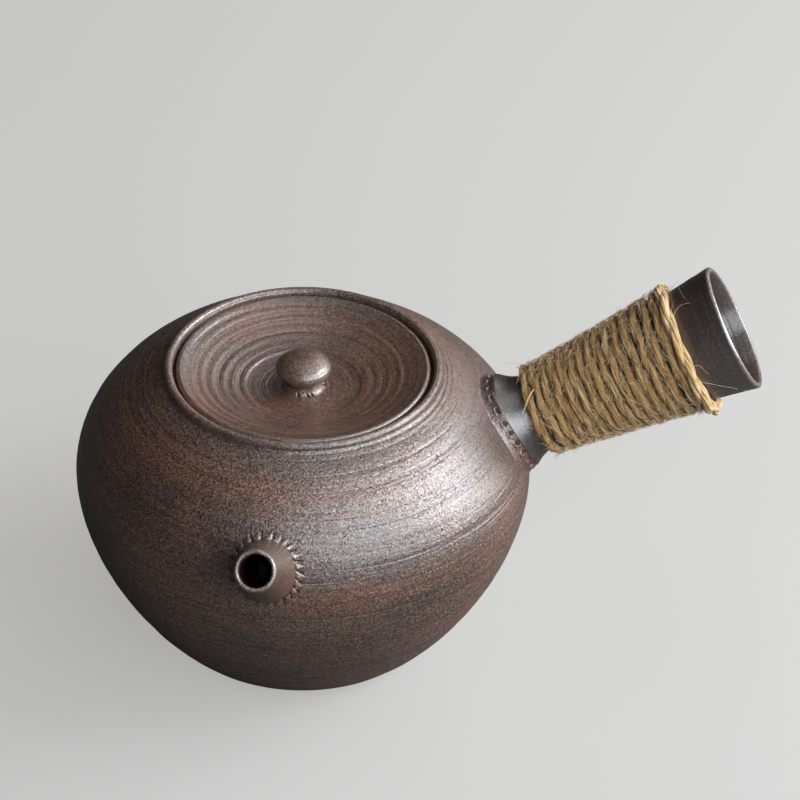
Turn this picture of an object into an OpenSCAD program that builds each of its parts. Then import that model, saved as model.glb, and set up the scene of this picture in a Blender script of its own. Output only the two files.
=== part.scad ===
// Side-handle teapot of unglazed stoneware, with a drop-in lid and a cord-wound handle.
// The origin is the middle of the foot on the table, +Z is the throwing axis and the handle points to +X.

/* [Body] */
// Greatest outer diameter of the belly
belly_d = 104; // [98:1:112]
// Height of the belly's greatest diameter above the table
belly_z = 43; // [40:0.5:46]
// Diameter of the flat foot
foot_d = 58; // [48:1:66]
// Height of the shoulder where the collar rises from it
shoulder_z = 69.3; // [67:0.1:73]
// Thickness of the thrown wall
wall = 3.2; // [2.6:0.1:3.8]
// Thickness of the floor
floor_t = 4.2; // [3.2:0.1:5.2]

/* [Collar and gallery] */
// Height of the rim above the shoulder
collar_h = 2.3; // [1.8:0.1:3]
// Width of the rounded rim
rim_w = 2; // [1.6:0.1:2.4]
// Radius of the hollow between shoulder and collar
collar_fillet = 1; // [0.6:0.1:1.3]
// Width of the ledge that carries the lid
ledge_w = 4.5; // [3.5:0.1:5.5]
// Thickness of the ledge
ledge_t = 2.6; // [2:0.1:3.2]

/* [Lid] */
// Outer diameter of the lid
lid_d = 57.2; // [52:0.2:60]
// Gap all round between the lid and the rim
lid_gap = 0.8; // [0.5:0.1:1.2]
// Gap between the lid's underside and the ledge
seat_gap = 0.1; // [0.05:0.05:0.3]
// Depth of the lid's edge below the rim
lid_sink = 0.8; // [0.4:0.1:1.2]
// Thickness of the lid's edge
lid_edge_t = 3.2; // [2.6:0.1:3.8]
// Thickness of the lid's dished middle
lid_t = 3.2; // [2.6:0.1:3.8]
// Depth of the dish at its middle
dish_depth = 5.8; // [4.5:0.1:7]
// Gap all round between the lid's step and the mouth
step_gap = 1.2; // [0.6:0.1:1.6]
// Spacing of the throwing rings on the lid
ring_pitch = 2.4; // [2:0.1:3.2]
// Height of the throwing rings on the lid
ring_h = 0.2; // [0.1:0.05:0.4]
// Diameter of the step in the dish
dish_step_d = 25.8; // [22:0.2:32]
// Height of the step in the dish
dish_step_h = 0.25; // [0.1:0.05:0.4]

/* [Knob] */
// Diameter of the knob's ball
knob_d = 12.5; // [10:0.5:15]
// Height of the knob's ball
knob_ball_h = 6.4; // [5:0.2:8]
// Height of the ball's middle above the dish
knob_mid_h = 5.2; // [4.4:0.1:6.4]
// Diameter of the knob's neck
knob_neck_d = 7.6; // [6:0.2:8.6]

/* [Spout] */
// Angle about the pot from the handle to the spout
spout_turn = -99; // [-120:1:-70]
// Height at which the spout's axis leaves the wall
spout_z = 52; // [47:0.5:55]
// Rise of the spout's axis above level
spout_tilt = 37.5; // [28:0.5:44]
// Length of the spout along its axis
spout_len = 14.4; // [12:0.2:20]
// Outer diameter of the spout's mouth
spout_mouth_d = 9; // [8.6:0.1:10.6]
// Outer diameter of the spout where its axis leaves the wall
spout_foot_d = 13.6; // [12.8:0.2:16]
// Diameter of the spout's bore
spout_bore_d = 7.2; // [5.8:0.1:7.6]
// Length of the straight bore behind the mouth
spout_bore_len = 9; // [6:0.5:10]
// Diameter of the hole through the wall behind the spout
throat_d = 10; // [8.6:0.2:10.6]

/* [Strainer] */
// Outer diameter of the strainer's dome
strainer_d = 18; // [16:0.5:20]
// Thickness of the strainer's wall
strainer_t = 1.8; // [1.4:0.1:2.2]
// Diameter of the strainer's holes
strainer_hole_d = 2.2; // [1.6:0.1:2.4]

/* [Handle] */
// Height at which the handle's axis leaves the wall
handle_z = 55.8; // [53:0.2:58]
// Rise of the handle's axis above level
handle_tilt = 28.6; // [22:0.2:36]
// Length of the handle along its axis
handle_len = 54.8; // [51:0.2:70]
// Outer diameter of the handle's foot
handle_foot_d = 23.4; // [21.6:0.2:24.4]
// Outer diameter of the handle at its waist
handle_waist_d = 17.6; // [16:0.2:18.6]
// Distance of the waist from the wall
handle_waist_at = 7.5; // [6.5:0.1:9]
// Outer diameter of the handle's open end
handle_end_d = 29.4; // [26:0.2:34]
// Thickness of the handle's wall
handle_wall = 2.2; // [1.7:0.1:2.6]
// Thickness of the lip at the handle's open end
handle_lip_t = 1.3; // [1:0.1:1.6]

/* [Twine] */
// Thickness of the twine
twine_d = 1.9; // [1.6:0.02:1.92]
// Advance of the winding in one turn
twine_pitch = 2.34; // [2.34:0.02:2.6]
// Turns of twine on the handle
twine_turns = 16; // [10:1:16]
// Distance of the first turn from the wall
twine_from = 6.1; // [5.6:0.1:7.4]

/* [Luting] */
// Thickness of the clay coils pressed round the spout and the knob
coil_d = 1.3; // [1:0.1:1.6]
// Thickness of the clay coil pressed round the handle
handle_coil_d = 2; // [1.6:0.1:2.2]
// Depth of the tool marks in the coils
notch_depth = 0.45; // [0.2:0.05:0.6]
// Spacing of the tool marks round the spout
spout_notch_pitch = 1.8; // [1.6:0.1:2.4]
// Spacing of the tool marks round the handle
handle_notch_pitch = 3.1; // [2.6:0.1:3.6]
// Spacing of the tool marks round the knob
knob_notch_pitch = 2.3; // [2:0.1:3]
// Layer of slip between pieces that are stuck together
slip = 0.15; // [0.1:0.01:0.2]

/* [Hidden] */

body_clay = "#4d3a35";
handle_clay = "#3a2d2a";
coil_clay = "#6a544c";
jute = "#b08a52";

// Smoothness of the round forms, and the number of straight steps along a curved profile
$fn = 96;
wall_steps = 14;
tube_steps = 24;
handle_steps = 48;
dome_steps = 8;
lip_steps = 6;

// Shape of the wall: how far it runs out of the foot, up to the belly, on from it, and into the collar
foot_run = 0.27;
foot_rise = 0.07;
belly_under = 0.42;
belly_over = 0.48;
shoulder_run = 0.51;
shoulder_fall = 0.45;

// Shape of the dish, and how quickly the spout and the handle flare
dish_power = 1.7;
spout_flare = 1.25;
handle_foot_flare = 2.3;
handle_end_flare = 1.3;

// Radii and heights of the mouth, the collar and the lid, from the lid outwards and from the rim downwards
lid_r = lid_d / 2;
rim_r = lid_r + lid_gap;
collar_r = rim_r + rim_w;
neck_r = collar_r + collar_fillet;
mouth_r = rim_r - ledge_w;
step_r = mouth_r - step_gap;
rim_z = shoulder_z + collar_h;
lid_top_z = rim_z - lid_sink;
lid_seat_z = lid_top_z - lid_edge_t;
ledge_z = lid_seat_z - seat_gap;
ledge_under_z = ledge_z - ledge_t;
dish_z = lid_top_z - dish_depth;
lid_round = lid_edge_t / 4;

// The knob stands on a flat in the middle of the dish, wide enough for the coil round its neck
knob_neck_r = knob_neck_d / 2;
knob_flat_r = knob_neck_r + 2 * coil_d;

// Depth to which the spout and the handle are cut to fit the round wall
root = spout_foot_d / 2;

function bezier(p, t) =
    pow(1 - t, 3) * p[0] + 3 * pow(1 - t, 2) * t * p[1] + 3 * (1 - t) * t * t * p[2] + pow(t, 3) * p[3];
function bezier_way(p, t) =
    pow(1 - t, 2) * (p[1] - p[0]) + 2 * (1 - t) * t * (p[2] - p[1]) + t * t * (p[3] - p[2]);
function arc(c, r, from, to, n) = [for (i = [0:n]) let (a = from + (to - from) * i / n) c + r * [cos(a), sin(a)]];

// Profile of the outer wall from foot to neck, as [radius, height], moved out square to itself by d
belly_r = belly_d / 2;
foot_r = foot_d / 2;
low_wall = [
    [foot_r, 0],
    [foot_r + foot_run * (belly_r - foot_r), foot_rise * belly_z],
    [belly_r, belly_z * (1 - belly_under)],
    [belly_r, belly_z]
];
high_wall = [
    [belly_r, belly_z],
    [belly_r, belly_z + belly_over * (shoulder_z - belly_z)],
    [
        neck_r + shoulder_run * (belly_r - neck_r),
        shoulder_z - shoulder_run * shoulder_fall * (belly_r - neck_r)
    ],
    [neck_r, shoulder_z]
];
function beside(p, t, d) = let (w = bezier_way(p, t)) bezier(p, t) + d * [w[1], -w[0]] / norm(w);
function wall_line(d) = concat(
    [for (i = [0:wall_steps]) beside(low_wall, i / wall_steps, d)],
    [for (i = [1:wall_steps]) beside(high_wall, i / wall_steps, d)]
);
function by_height(line) = [for (p = line) [p[1], p[0]]];

outer_line = wall_line(0);
outer_by_height = by_height(outer_line);
inner_line = wall_line(-wall);
inner_by_height = by_height(inner_line);

function outer_r(z) = lookup(z, outer_by_height);
function inner_r(z) = lookup(z, inner_by_height);

// Outline of the body's half section: up the outside, over the rim, down the gallery and the inside
rim_round = rim_w / 2;
body_section = concat(
    [[0, 0]],
    outer_line,
    arc([neck_r, shoulder_z + collar_fillet], collar_fillet, 270, 180, lip_steps),
    arc([collar_r - rim_round, rim_z - rim_round], rim_round, 0, 180, 2 * lip_steps),
    [[rim_r, ledge_z], [mouth_r, ledge_z], [mouth_r, ledge_under_z], [inner_r(ledge_under_z), ledge_under_z]],
    [
        for (i = [len(inner_line) - 1:-1:0])
            let (p = inner_line[i]) if (p[1] < ledge_under_z && p[1] > floor_t) p
    ],
    [[inner_r(floor_t), floor_t], [0, floor_t]]
);

// Solid of revolution under a wall line, to cut or to bound what is luted to the wall
module filled(line) {
    rotate_extrude()
        polygon(concat([[0, line[0][1]]], line, [[0, line[len(line) - 1][1]]]));
}

// Places of the spout and the handle: their own +Z is their axis, from the point where it leaves the wall
module at_joint(turn, z, tilt) {
    rotate([0, 0, turn])
        translate([outer_r(z), 0, z])
            rotate([0, 90 - tilt, 0])
                children();
}
module at_spout() at_joint(spout_turn, spout_z, spout_tilt) children();
module at_strainer() at_spout() translate([0, 0, -wall]) children();
module at_handle() at_joint(0, handle_z, handle_tilt) children();

// Outer radius of the spout and the handle at the distance s along their axes
function spout_r(s) =
    spout_mouth_d / 2 + (spout_foot_d - spout_mouth_d) / 2 * pow(1 - s / spout_len, spout_flare);
function handle_r(s) = handle_waist_d / 2 + (
    s < handle_waist_at
        ? (handle_foot_d - handle_waist_d) / 2 * pow(1 - max(s, 0) / handle_waist_at, handle_foot_flare)
        : (handle_end_d - handle_waist_d) / 2
            * pow((s - handle_waist_at) / (handle_len - handle_waist_at), handle_end_flare)
);

// The handle's wall thins to its lip over the last stretch beyond the twine
lip_from = twine_from + twine_turns * twine_pitch;
function handle_t(s) =
    s < lip_from ? handle_wall : handle_wall + (handle_lip_t - handle_wall) * (s - lip_from) / (handle_len - lip_from);

// Joint of a round foot with the wall: a frame [origin, axis, up, side] and a point on the foot's skin
function joint_frame(turn, z, tilt) = [
    [outer_r(z) * cos(turn), outer_r(z) * sin(turn), z],
    [cos(tilt) * cos(turn), cos(tilt) * sin(turn), sin(tilt)],
    [-sin(tilt) * cos(turn), -sin(tilt) * sin(turn), cos(tilt)],
    [sin(turn), -cos(turn), 0]
];
function out_at(f, a) = cos(a) * f[2] + sin(a) * f[3];
function skin_at(f, skin, s, a) = f[0] + s * f[1] + skin(s) * out_at(f, a);

// Height on the foot's skin at which it meets the wall, found by halving the span
halvings = 16;
function meet(f, skin, a, low, high, n = halvings) =
    let (mid = (low + high) / 2, p = skin_at(f, skin, mid, a))
    n == 0 ? mid
        : norm([p[0], p[1]]) > outer_r(p[2]) ? meet(f, skin, a, low, mid, n - 1) : meet(f, skin, a, mid, high, n - 1);

// Directions square to the wall and to the foot's skin
tiny = 0.01;
function wall_way(p) =
    let (lean = (outer_r(p[2] + tiny) - outer_r(p[2] - tiny)) / (2 * tiny), r = norm([p[0], p[1]]))
    [p[0] / r, p[1] / r, -lean] / norm([1, lean]);
function skin_way(f, skin, s, a) =
    let (lean = (skin(s + tiny) - skin(s - tiny)) / (2 * tiny)) (out_at(f, a) - lean * f[1]) / norm([1, lean]);

// Middle of a coil of radius r that lies in the corner at a joint, clear of both skins by the slip
function in_corner(p, n1, n2, r) = p + (r + slip) / (1 + n1 * n2) * (n1 + n2);

// Tool marks: a coil's radius dips once in each mark, and each mark takes a few rings of the coil
coil_r = coil_d / 2;
mark_rings = 5;
coil_sides = 6;
function coil_rings(r, pitch) = mark_rings * round(2 * PI * r / pitch);
function mark_r(r, i) = r - notch_depth * pow(cos(180 * i / mark_rings), 8);

// Tube through a list of middles with a radius each, as one closed or open skin
function tube_points(path, radii, closed, sides, across) = let (n = len(path)) [
    for (i = [0:n - 1])
        let (
            before = path[closed ? (i + n - 1) % n : max(i - 1, 0)],
            after = path[closed ? (i + 1) % n : min(i + 1, n - 1)],
            way = (after - before) / norm(after - before),
            side = cross(way, across[i]) / norm(cross(way, across[i])),
            out = cross(side, way)
        )
            for (k = [0:sides - 1])
                let (a = 360 * (k + 0.5) / sides) path[i] + radii[i] * (cos(a) * out + sin(a) * side)
];
function tube_faces(n, closed, sides) = concat(
    [
        for (i = [0:closed ? n - 1 : n - 2], k = [0:sides - 1])
            let (
                a = i * sides + k,
                b = i * sides + (k + 1) % sides,
                c = (i + 1) % n * sides + k,
                d = (i + 1) % n * sides + (k + 1) % sides
            )
                each [[a, d, b], [a, c, d]]
    ],
    closed ? [] : [for (k = [1:sides - 2]) each [
        [0, k, k + 1],
        [(n - 1) * sides, (n - 1) * sides + k + 1, (n - 1) * sides + k]
    ]]
);
module tube(path, radii, closed, sides, across) {
    polyhedron(tube_points(path, radii, closed, sides, across), tube_faces(len(path), closed, sides));
}

// Notched coil along the line where a foot meets the wall
module luting_coil(f, skin, r, pitch) {
    rings = coil_rings(skin(0), pitch);
    turn = [for (i = [0:rings - 1]) 360 * i / rings];
    at = [for (a = turn) meet(f, skin, a, -root, root)];
    foot = [for (i = [0:rings - 1]) skin_at(f, skin, at[i], turn[i])];
    n1 = [for (p = foot) wall_way(p)];
    n2 = [for (i = [0:rings - 1]) skin_way(f, skin, at[i], turn[i])];
    tube(
        [for (i = [0:rings - 1]) in_corner(foot[i], n1[i], n2[i], r)],
        [for (i = [0:rings - 1]) mark_r(r, i)],
        true, coil_sides, n1 + n2
    );
}

// Winding: middles of the twine on the handle's skin, in the handle's own frame
twine_rings = 24;
twine_sides = 6;
twine_start = 90;
twine_r = twine_d / 2;
twine_lift = twine_r * cos(180 / twine_sides) + slip;
function twine_lean(s) = (handle_r(s + tiny) - handle_r(s - tiny)) / (2 * tiny);
function twine_out(s, a) = let (l = twine_lean(s)) [cos(a), sin(a), -l] / norm([1, l]);
function twine_at(i) =
    let (
        a = twine_start + 360 * i / twine_rings,
        s = twine_from + twine_pitch * i / twine_rings,
        sag = (handle_r(s) + twine_r) * (1 - cos(180 / twine_rings)),
        r = handle_r(s) + twine_lift * norm([1, twine_lean(s)]) + sag
    )
    [r * cos(a), r * sin(a), s];
twine_last = twine_turns * twine_rings;
wound = [for (i = [0:twine_last]) twine_at(i)];
function on_by(from, to, d) = to + d * (to - from) / norm(to - from);
twine_path = concat([on_by(wound[1], wound[0], twine_d)], wound,
    [on_by(wound[twine_last - 1], wound[twine_last], twine_d)]);
function twine_across(i) =
    let (k = min(max(i - 1, 0), twine_last))
    twine_out(twine_from + twine_pitch * k / twine_rings, twine_start + 360 * k / twine_rings);

// Least gap of the twine to itself, between points at least half a turn apart
twine_gap = min([
    for (i = [0:len(twine_path) - 1])
        for (j = [i + twine_rings / 2:min(i + 2 * twine_rings, len(twine_path) - 1)])
            norm(twine_path[i] - twine_path[j])
]) - twine_d;
echo(twine_least_gap_mm = twine_gap);

module pot_body() {
    color(body_clay)
        difference() {
            rotate_extrude()
                polygon(body_section);
            at_spout()
                translate([0, 0, -root])
                    cylinder(h = 2 * root, d = throat_d);
        }
}

// The spout's lip is eased on both edges by a third of its thickness
module spout() {
    ease = (spout_mouth_d - spout_bore_d) / 6;
    bore_r = spout_bore_d / 2;
    color(body_clay)
        difference() {
            at_spout()
                rotate_extrude()
                    polygon(concat(
                        [[throat_d / 2, -root]],
                        [
                            for (i = [0:lip_steps])
                                let (s = -root + (spout_len - ease + root) * i / lip_steps) [spout_r(s), s]
                        ],
                        [
                            [spout_mouth_d / 2 - ease, spout_len],
                            [bore_r + ease, spout_len],
                            [bore_r, spout_len - ease],
                            [bore_r, spout_len - spout_bore_len],
                            [throat_d / 2, 0]
                        ]
                    ));
            filled(wall_line(slip));
        }
}

module spout_luting_coil() {
    color(coil_clay)
        luting_coil(joint_frame(spout_turn, spout_z, spout_tilt), function(s) spout_r(s), coil_r,
            spout_notch_pitch);
}

// Dome on the inside of the wall: one hole on the spout's axis, the rest square to the dome in rings round it
module strainer() {
    dome_r = strainer_d / 2;
    bowl_r = dome_r - strainer_t;
    hole_r = strainer_hole_d / 2;
    hole_rings = [[30, 6], [58, 11]];
    brim = 40;
    color(body_clay)
        difference() {
            intersection() {
                at_strainer()
                    rotate_extrude()
                        polygon(concat(
                            arc([0, 0], dome_r, asin(hole_r / dome_r) - 90, brim, dome_steps),
                            arc([0, 0], bowl_r, brim, asin(hole_r / bowl_r) - 90, dome_steps)
                        ));
                filled(wall_line(-wall - slip));
            }
            at_strainer()
                for (ring = hole_rings, i = [0:ring[1] - 1])
                    rotate([180 - ring[0], 0, 360 * i / ring[1]])
                        translate([0, 0, bowl_r - strainer_t])
                            cylinder(h = 3 * strainer_t, d = strainer_hole_d);
        }
}

// The lip is eased on its outer edge, and the hollow follows the outside at the wall's thickness
module handle() {
    ease = handle_lip_t / 3;
    steps = [for (i = [0:handle_steps]) -root + (handle_len - ease + root) * i / handle_steps];
    color(handle_clay)
        difference() {
            at_handle()
                rotate_extrude()
                    polygon(concat(
                        [for (s = steps) [handle_r(s), s]],
                        [[handle_end_d / 2 - ease, handle_len], [handle_end_d / 2 - handle_lip_t, handle_len]],
                        [for (i = [handle_steps - 1:-1:0]) [handle_r(steps[i]) - handle_t(steps[i]), steps[i]]]
                    ));
            filled(wall_line(slip));
        }
}

module handle_luting_coil() {
    color(coil_clay)
        luting_coil(joint_frame(0, handle_z, handle_tilt), function(s) handle_r(s), handle_coil_d / 2,
            handle_notch_pitch);
}

module handle_twine() {
    n = len(twine_path);
    color(jute)
        at_handle()
            tube(twine_path, [for (i = [0:n - 1]) twine_r], false, twine_sides,
                [for (i = [0:n - 1]) twine_across(i)]);
}

// Top of the dish: flat under the knob, then rising to the edge by a step, with rings that fade in and out
edge_r = lid_r - lid_round;
function dish_step(r) = dish_step_h * max(0, min(1, 2 * (r - dish_step_d / 2) / ring_pitch));
function dish_rise(r) =
    (dish_depth - dish_step_h) * pow(max(r - knob_flat_r, 0) / (edge_r - knob_flat_r), dish_power) + dish_step(r);
function ring_share(r) = max(0, min(1, (r - knob_flat_r) / ring_pitch, (edge_r - r) / ring_pitch));
function dish_top(r) = dish_z + dish_rise(r) + ring_share(r) * ring_h / 2 * cos(360 * r / ring_pitch);
points_per_ring = 4;
dish_points = ceil((edge_r - knob_flat_r) * points_per_ring / ring_pitch);

module lid() {
    spread = [for (i = [0:dish_points]) knob_flat_r + (edge_r - knob_flat_r) * i / dish_points];
    under = [for (i = [0:tube_steps]) step_r * (1 - i / tube_steps)];
    color(body_clay)
        rotate_extrude()
            polygon(concat(
                [[0, dish_z]],
                [for (r = spread) [r, dish_top(r)]],
                arc([edge_r, lid_top_z - lid_round], lid_round, 90, 0, lip_steps),
                [[lid_r, lid_seat_z], [step_r, lid_seat_z]],
                [for (r = under) [r, min(lid_seat_z, dish_z + dish_rise(r)) - lid_t]]
            ));
}

// Flattened ball on a short straight neck
module lid_knob() {
    neck_share = asin(knob_neck_d / knob_d);
    color(body_clay)
        translate([0, 0, dish_z])
            rotate_extrude()
                polygon(concat(
                    [[0, 0], [knob_neck_r, 0]],
                    [
                        for (i = [0:tube_steps])
                            let (a = neck_share + (180 - neck_share) * i / tube_steps)
                                [knob_d / 2 * sin(a), knob_mid_h - knob_ball_h / 2 * cos(a)]
                    ]
                ));
}

module knob_luting_coil() {
    rings = coil_rings(knob_neck_r + coil_r, knob_notch_pitch);
    turn = [for (i = [0:rings - 1]) 360 * i / rings];
    lie = coil_r + slip;
    color(coil_clay)
        tube(
            [for (a = turn) [(knob_neck_r + lie) * cos(a), (knob_neck_r + lie) * sin(a), dish_z + lie]],
            [for (i = [0:rings - 1]) mark_r(coil_r, i)],
            true, coil_sides, [for (a = turn) [cos(a), sin(a), 1]]
        );
}

pot_body();
spout();
spout_luting_coil();
strainer();
handle();
handle_luting_coil();
handle_twine();
lid();
lid_knob();
knob_luting_coil();
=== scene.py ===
"""Dresses the side-handle teapot's frame: thrown clay, luted joints, wound twine and a studio floor."""

import math
import random

import bmesh
import bpy
from bpy.props import FloatProperty, FloatVectorProperty, IntProperty, PointerProperty
from bpy.types import Operator, Panel, PropertyGroup
from mathutils import Matrix, Vector, geometry, noise


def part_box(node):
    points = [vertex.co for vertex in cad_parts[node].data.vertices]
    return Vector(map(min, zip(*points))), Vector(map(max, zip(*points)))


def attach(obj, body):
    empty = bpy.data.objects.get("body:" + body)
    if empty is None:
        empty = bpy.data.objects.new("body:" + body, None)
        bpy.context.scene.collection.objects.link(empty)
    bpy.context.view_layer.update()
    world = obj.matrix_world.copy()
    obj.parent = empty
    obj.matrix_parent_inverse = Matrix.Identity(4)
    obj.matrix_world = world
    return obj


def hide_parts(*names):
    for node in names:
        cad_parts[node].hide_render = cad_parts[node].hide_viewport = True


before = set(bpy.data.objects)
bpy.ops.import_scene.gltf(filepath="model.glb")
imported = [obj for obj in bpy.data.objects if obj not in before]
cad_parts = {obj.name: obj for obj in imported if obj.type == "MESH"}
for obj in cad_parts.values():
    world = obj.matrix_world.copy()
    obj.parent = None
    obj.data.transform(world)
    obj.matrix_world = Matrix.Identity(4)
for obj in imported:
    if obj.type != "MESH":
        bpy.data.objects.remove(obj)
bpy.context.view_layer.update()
POT_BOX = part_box("pot_body")
LID_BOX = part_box("lid")
KNOB_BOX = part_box("lid_knob")

bl_info = {
    "name": "Side-handle teapot",
    "version": (1, 0, 0),
    "blender": (4, 5, 0),
    "location": "View3D > Sidebar > Teapot",
    "description": "Thrown stoneware pot with luted spout, cord-wound handle and drop-in lid",
    "category": "Add Mesh",
}

MM = 0.001
TURN = math.tau
TINY = 0.05 * MM

# The wall's curve: the pull of its foot outwards and upwards, of the belly down and up, and of the shoulder
FOOT_OUT, FOOT_UP, BELLY_DOWN, BELLY_UP, SHOULDER_OUT = 0.27, 0.07, 0.58, 0.48, 0.51
SHOULDER_SLOPE = 0.45

# Steps of each thrown piece round the wheel
BODY_STEPS, SPOUT_STEPS, HANDLE_STEPS, LID_STEPS, KNOB_STEPS = 228, 112, 144, 240, 96

# Throwing marks of each piece: spacing of the wide and of the narrow ones
BODY_MARKS, SPOUT_MARKS, HANDLE_MARKS = (2.3 * MM, 0.95 * MM), (1.9 * MM, 0.8 * MM), (2.6 * MM, 1.1 * MM)
DISH_MARKS, KNOB_MARKS = (1.9 * MM, 0.8 * MM), (1.5 * MM, 0.7 * MM)

# Round the feet of the handle and the spout the wall has no marks up to the first distance from the axis
# and all of them from the second
HANDLE_CLEAR, SPOUT_CLEAR = (14.5 * MM, 20 * MM), (9 * MM, 12.5 * MM)

# Pattern of the clay, in repeats per metre; bands and lines have one for along the wall and one for round it
PATCH_SCALE, PORE_SCALE, GRAIN_SCALE = 38.0, 1700.0, 3900.0
BAND_SCALE = (150.0, 14.0)
LINE_SCALE = (640.0, 12.0)

# Each clay: its colour in the looks, a factor on it, and shares of smoothness, throwing lines and painted
# shade
CLAYS = {
    "body_stoneware": ("clay", 1.0, 0.0, 1.0, 0.0),
    "spout_stoneware": ("clay", 1.0, 0.6, 0.3, 0.0),
    "lid_stoneware": ("clay", 1.0, 0.4, 0.6, 0.0),
    "handle_stoneware": ("handle_clay", 1.0, 0.8, 0.25, 0.0),
    "coil_stoneware": ("clay", 1.0, 0.3, 0.0, 0.0),
    # the strainer's near-black clay is painted shade inside the pot
    "stained_stoneware": ("clay_dark", 0.2, 1.0, 0.0, 0.9),
}

# Teeth of clay round the spout: degrees from its top and size, which also scales their painted highlight and
# shadow
SPOUT_TEETH = (
    (18, 0.8), (-3, 0.9), (-18, 0.75), (-30, 0.8), (-42, 0.9), (-60, 1.0), (-78, 0.95), (-93, 1.0),
    (-108, 0.95), (-121, 0.8), (-136, 0.75), (-153, 0.6), (-168, 0.4), (176, 0.35), (158, 0.45),
    (140, 0.5), (121, 0.55), (104, 0.6), (86, 0.6), (70, 0.6), (52, 0.65), (36, 0.7),
)

# The twine: strands in a ply, the lengths in which plies and strands turn once, the points of a loose fibre
# after its first, and the share of them that lie on the winding
PLY_STRANDS = 8
PLY_LAY, STRAND_LAY = 17 * MM, 31 * MM
FIBRE_STEPS = 6
LYING_SHARE = 0.7

# Shares of the twine's thickness: plies off its middle, strands off their ply's, radii of strand and core
PLY_OFF, STRAND_OFF, STRAND_R, CORE_R = 0.17, 0.24, 0.115, 0.43

# Long hairs and one thick straw: radius in mm, then stops as mm along the handle, degrees round it, mm off it
LONG_FIBRES = (
    (0.17, ((8.9, 30, 2.2), (7.6, 37, 2.9), (6.2, 44, 2.6), (4.4, 53, 2.2))),
    (0.05, ((43.6, 34, 1.9), (44.4, 30, 1.4), (45.3, 22, 1.2), (47.4, 19, 1.6), (49.3, 20, 1.1))),
    (0.04, ((46.6, -14, 0.7), (47.4, -8, 1.0), (48.0, 4, 0.9), (48.6, 16, 0.7))),
    (0.045, ((44.3, 91, 1.0), (46.4, 98, 0.8), (48.8, 108, 0.6), (52.6, 142, 0.5))),
    (0.04, ((44.6, 73, 1.2), (46.0, 76, 0.7), (46.8, 87, 0.5))),
    (0.055, ((34.0, 20, 2.5), (37.2, 27, 3.0), (40.5, 34, 2.6))),
    (0.05, ((25.8, 36, 2.4), (28.2, 37, 2.9), (30.6, 38, 2.6))),
    (0.05, ((19.4, 55, 2.4), (22.2, 50, 2.9), (25.0, 54, 2.5))),
    (0.035, ((6.4, -30, 2.4), (4.6, -34, 3.2), (2.4, -36, 3.0))),
)

# Each lamp: place and size in metres, power in watts and colour
LAMPS = (
    ("key_softbox", (0.735, 0.08, 0.37), (0.55, 0.55), 11.5, (0.97, 0.985, 1.0)),
    ("front_softbox", (0.57, -0.68, 0.62), (1.35, 0.85), 15.0, (0.88, 0.945, 1.0)),
    ("back_softbox", (0.62, 0.72, 0.62), (0.80, 0.60), 2.2, (1.0, 0.98, 0.96)),
    ("top_softbox", (0.20, 0.10, 1.05), (0.70, 0.70), 1.6, (0.97, 0.98, 1.0)),
)
LAMP_AIM = Vector((0.015, 0.0, 0.045))

# Room and floor: what the camera sees of them, and what they send on to the pot
ROOM_COLOUR = (0.86, 0.87, 0.90, 1.0)
ROOM_SEEN, ROOM_LIGHT = 0.6, 0.015
FLOOR_BOUNCE, FLOOR_LIT, FLOOR_GLOW = 0.18, 0.34, 0.76

CAMERA_STAND = Vector((5.77, -551.63, 458.65)) * MM
CAMERA_AIM = Vector((21.84, -0.64, 61.84)) * MM
CAMERA_ROLL = math.radians(1.27)


def length(name, description, metres):
    """A length that a user may change."""
    return FloatProperty(
        name=name, description=description, default=metres, min=0.0, precision=5, unit="LENGTH"
    )


def slope(name, description, degrees):
    """An angle that a user may change."""
    return FloatProperty(name=name, description=description, default=math.radians(degrees), unit="ROTATION")


def tint(name, description, colour):
    """A linear colour that a user may change."""
    return FloatVectorProperty(
        name=name, description=description, default=colour, size=3, min=0.0, max=1.0, subtype="COLOR"
    )


def share(name, description, value):
    """A plain factor that a user may change."""
    return FloatProperty(
        name=name, description=description, default=value, min=0.0, max=1.0, subtype="FACTOR"
    )


def quantity(name, description, many, least):
    """A number of things that a user may change."""
    return IntProperty(name=name, description=description, default=many, min=least)


class TeapotBodySizes(PropertyGroup):
    """Sizes of the thrown body."""

    belly_d: length("Belly", "Greatest outer diameter of the belly", 2 * POT_BOX[1][0])
    belly_z: length("Belly height", "Height of the greatest diameter above the table", 43 * MM)
    foot_d: length("Foot", "Diameter of the flat foot", 58 * MM)
    neck_d: length("Neck", "Diameter of the shoulder where the collar rises", 64.8 * MM)
    shoulder_z: length("Shoulder height", "Height of the shoulder at the collar", 69.3 * MM)
    wall: length("Wall", "Thickness of the thrown wall", 3.2 * MM)
    floor_t: length("Floor", "Thickness of the floor", 4.2 * MM)
    rim_z: length("Rim height", "Height of the rim above the table", POT_BOX[1][2])
    rim_w: length("Rim width", "Width of the rounded rim", 2 * MM)
    rim_r: length("Rim radius", "Inner radius of the rim", 29.4 * MM)
    mouth_r: length("Mouth radius", "Inner radius of the ledge that carries the lid", 24.9 * MM)
    ledge_z: length("Ledge height", "Height of the ledge that carries the lid", 67.5 * MM)
    ledge_t: length("Ledge", "Thickness of the ledge", 2.6 * MM)
    ring_h: length("Throwing marks", "Height of the throwing marks on the wall", 0.19 * MM)


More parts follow.
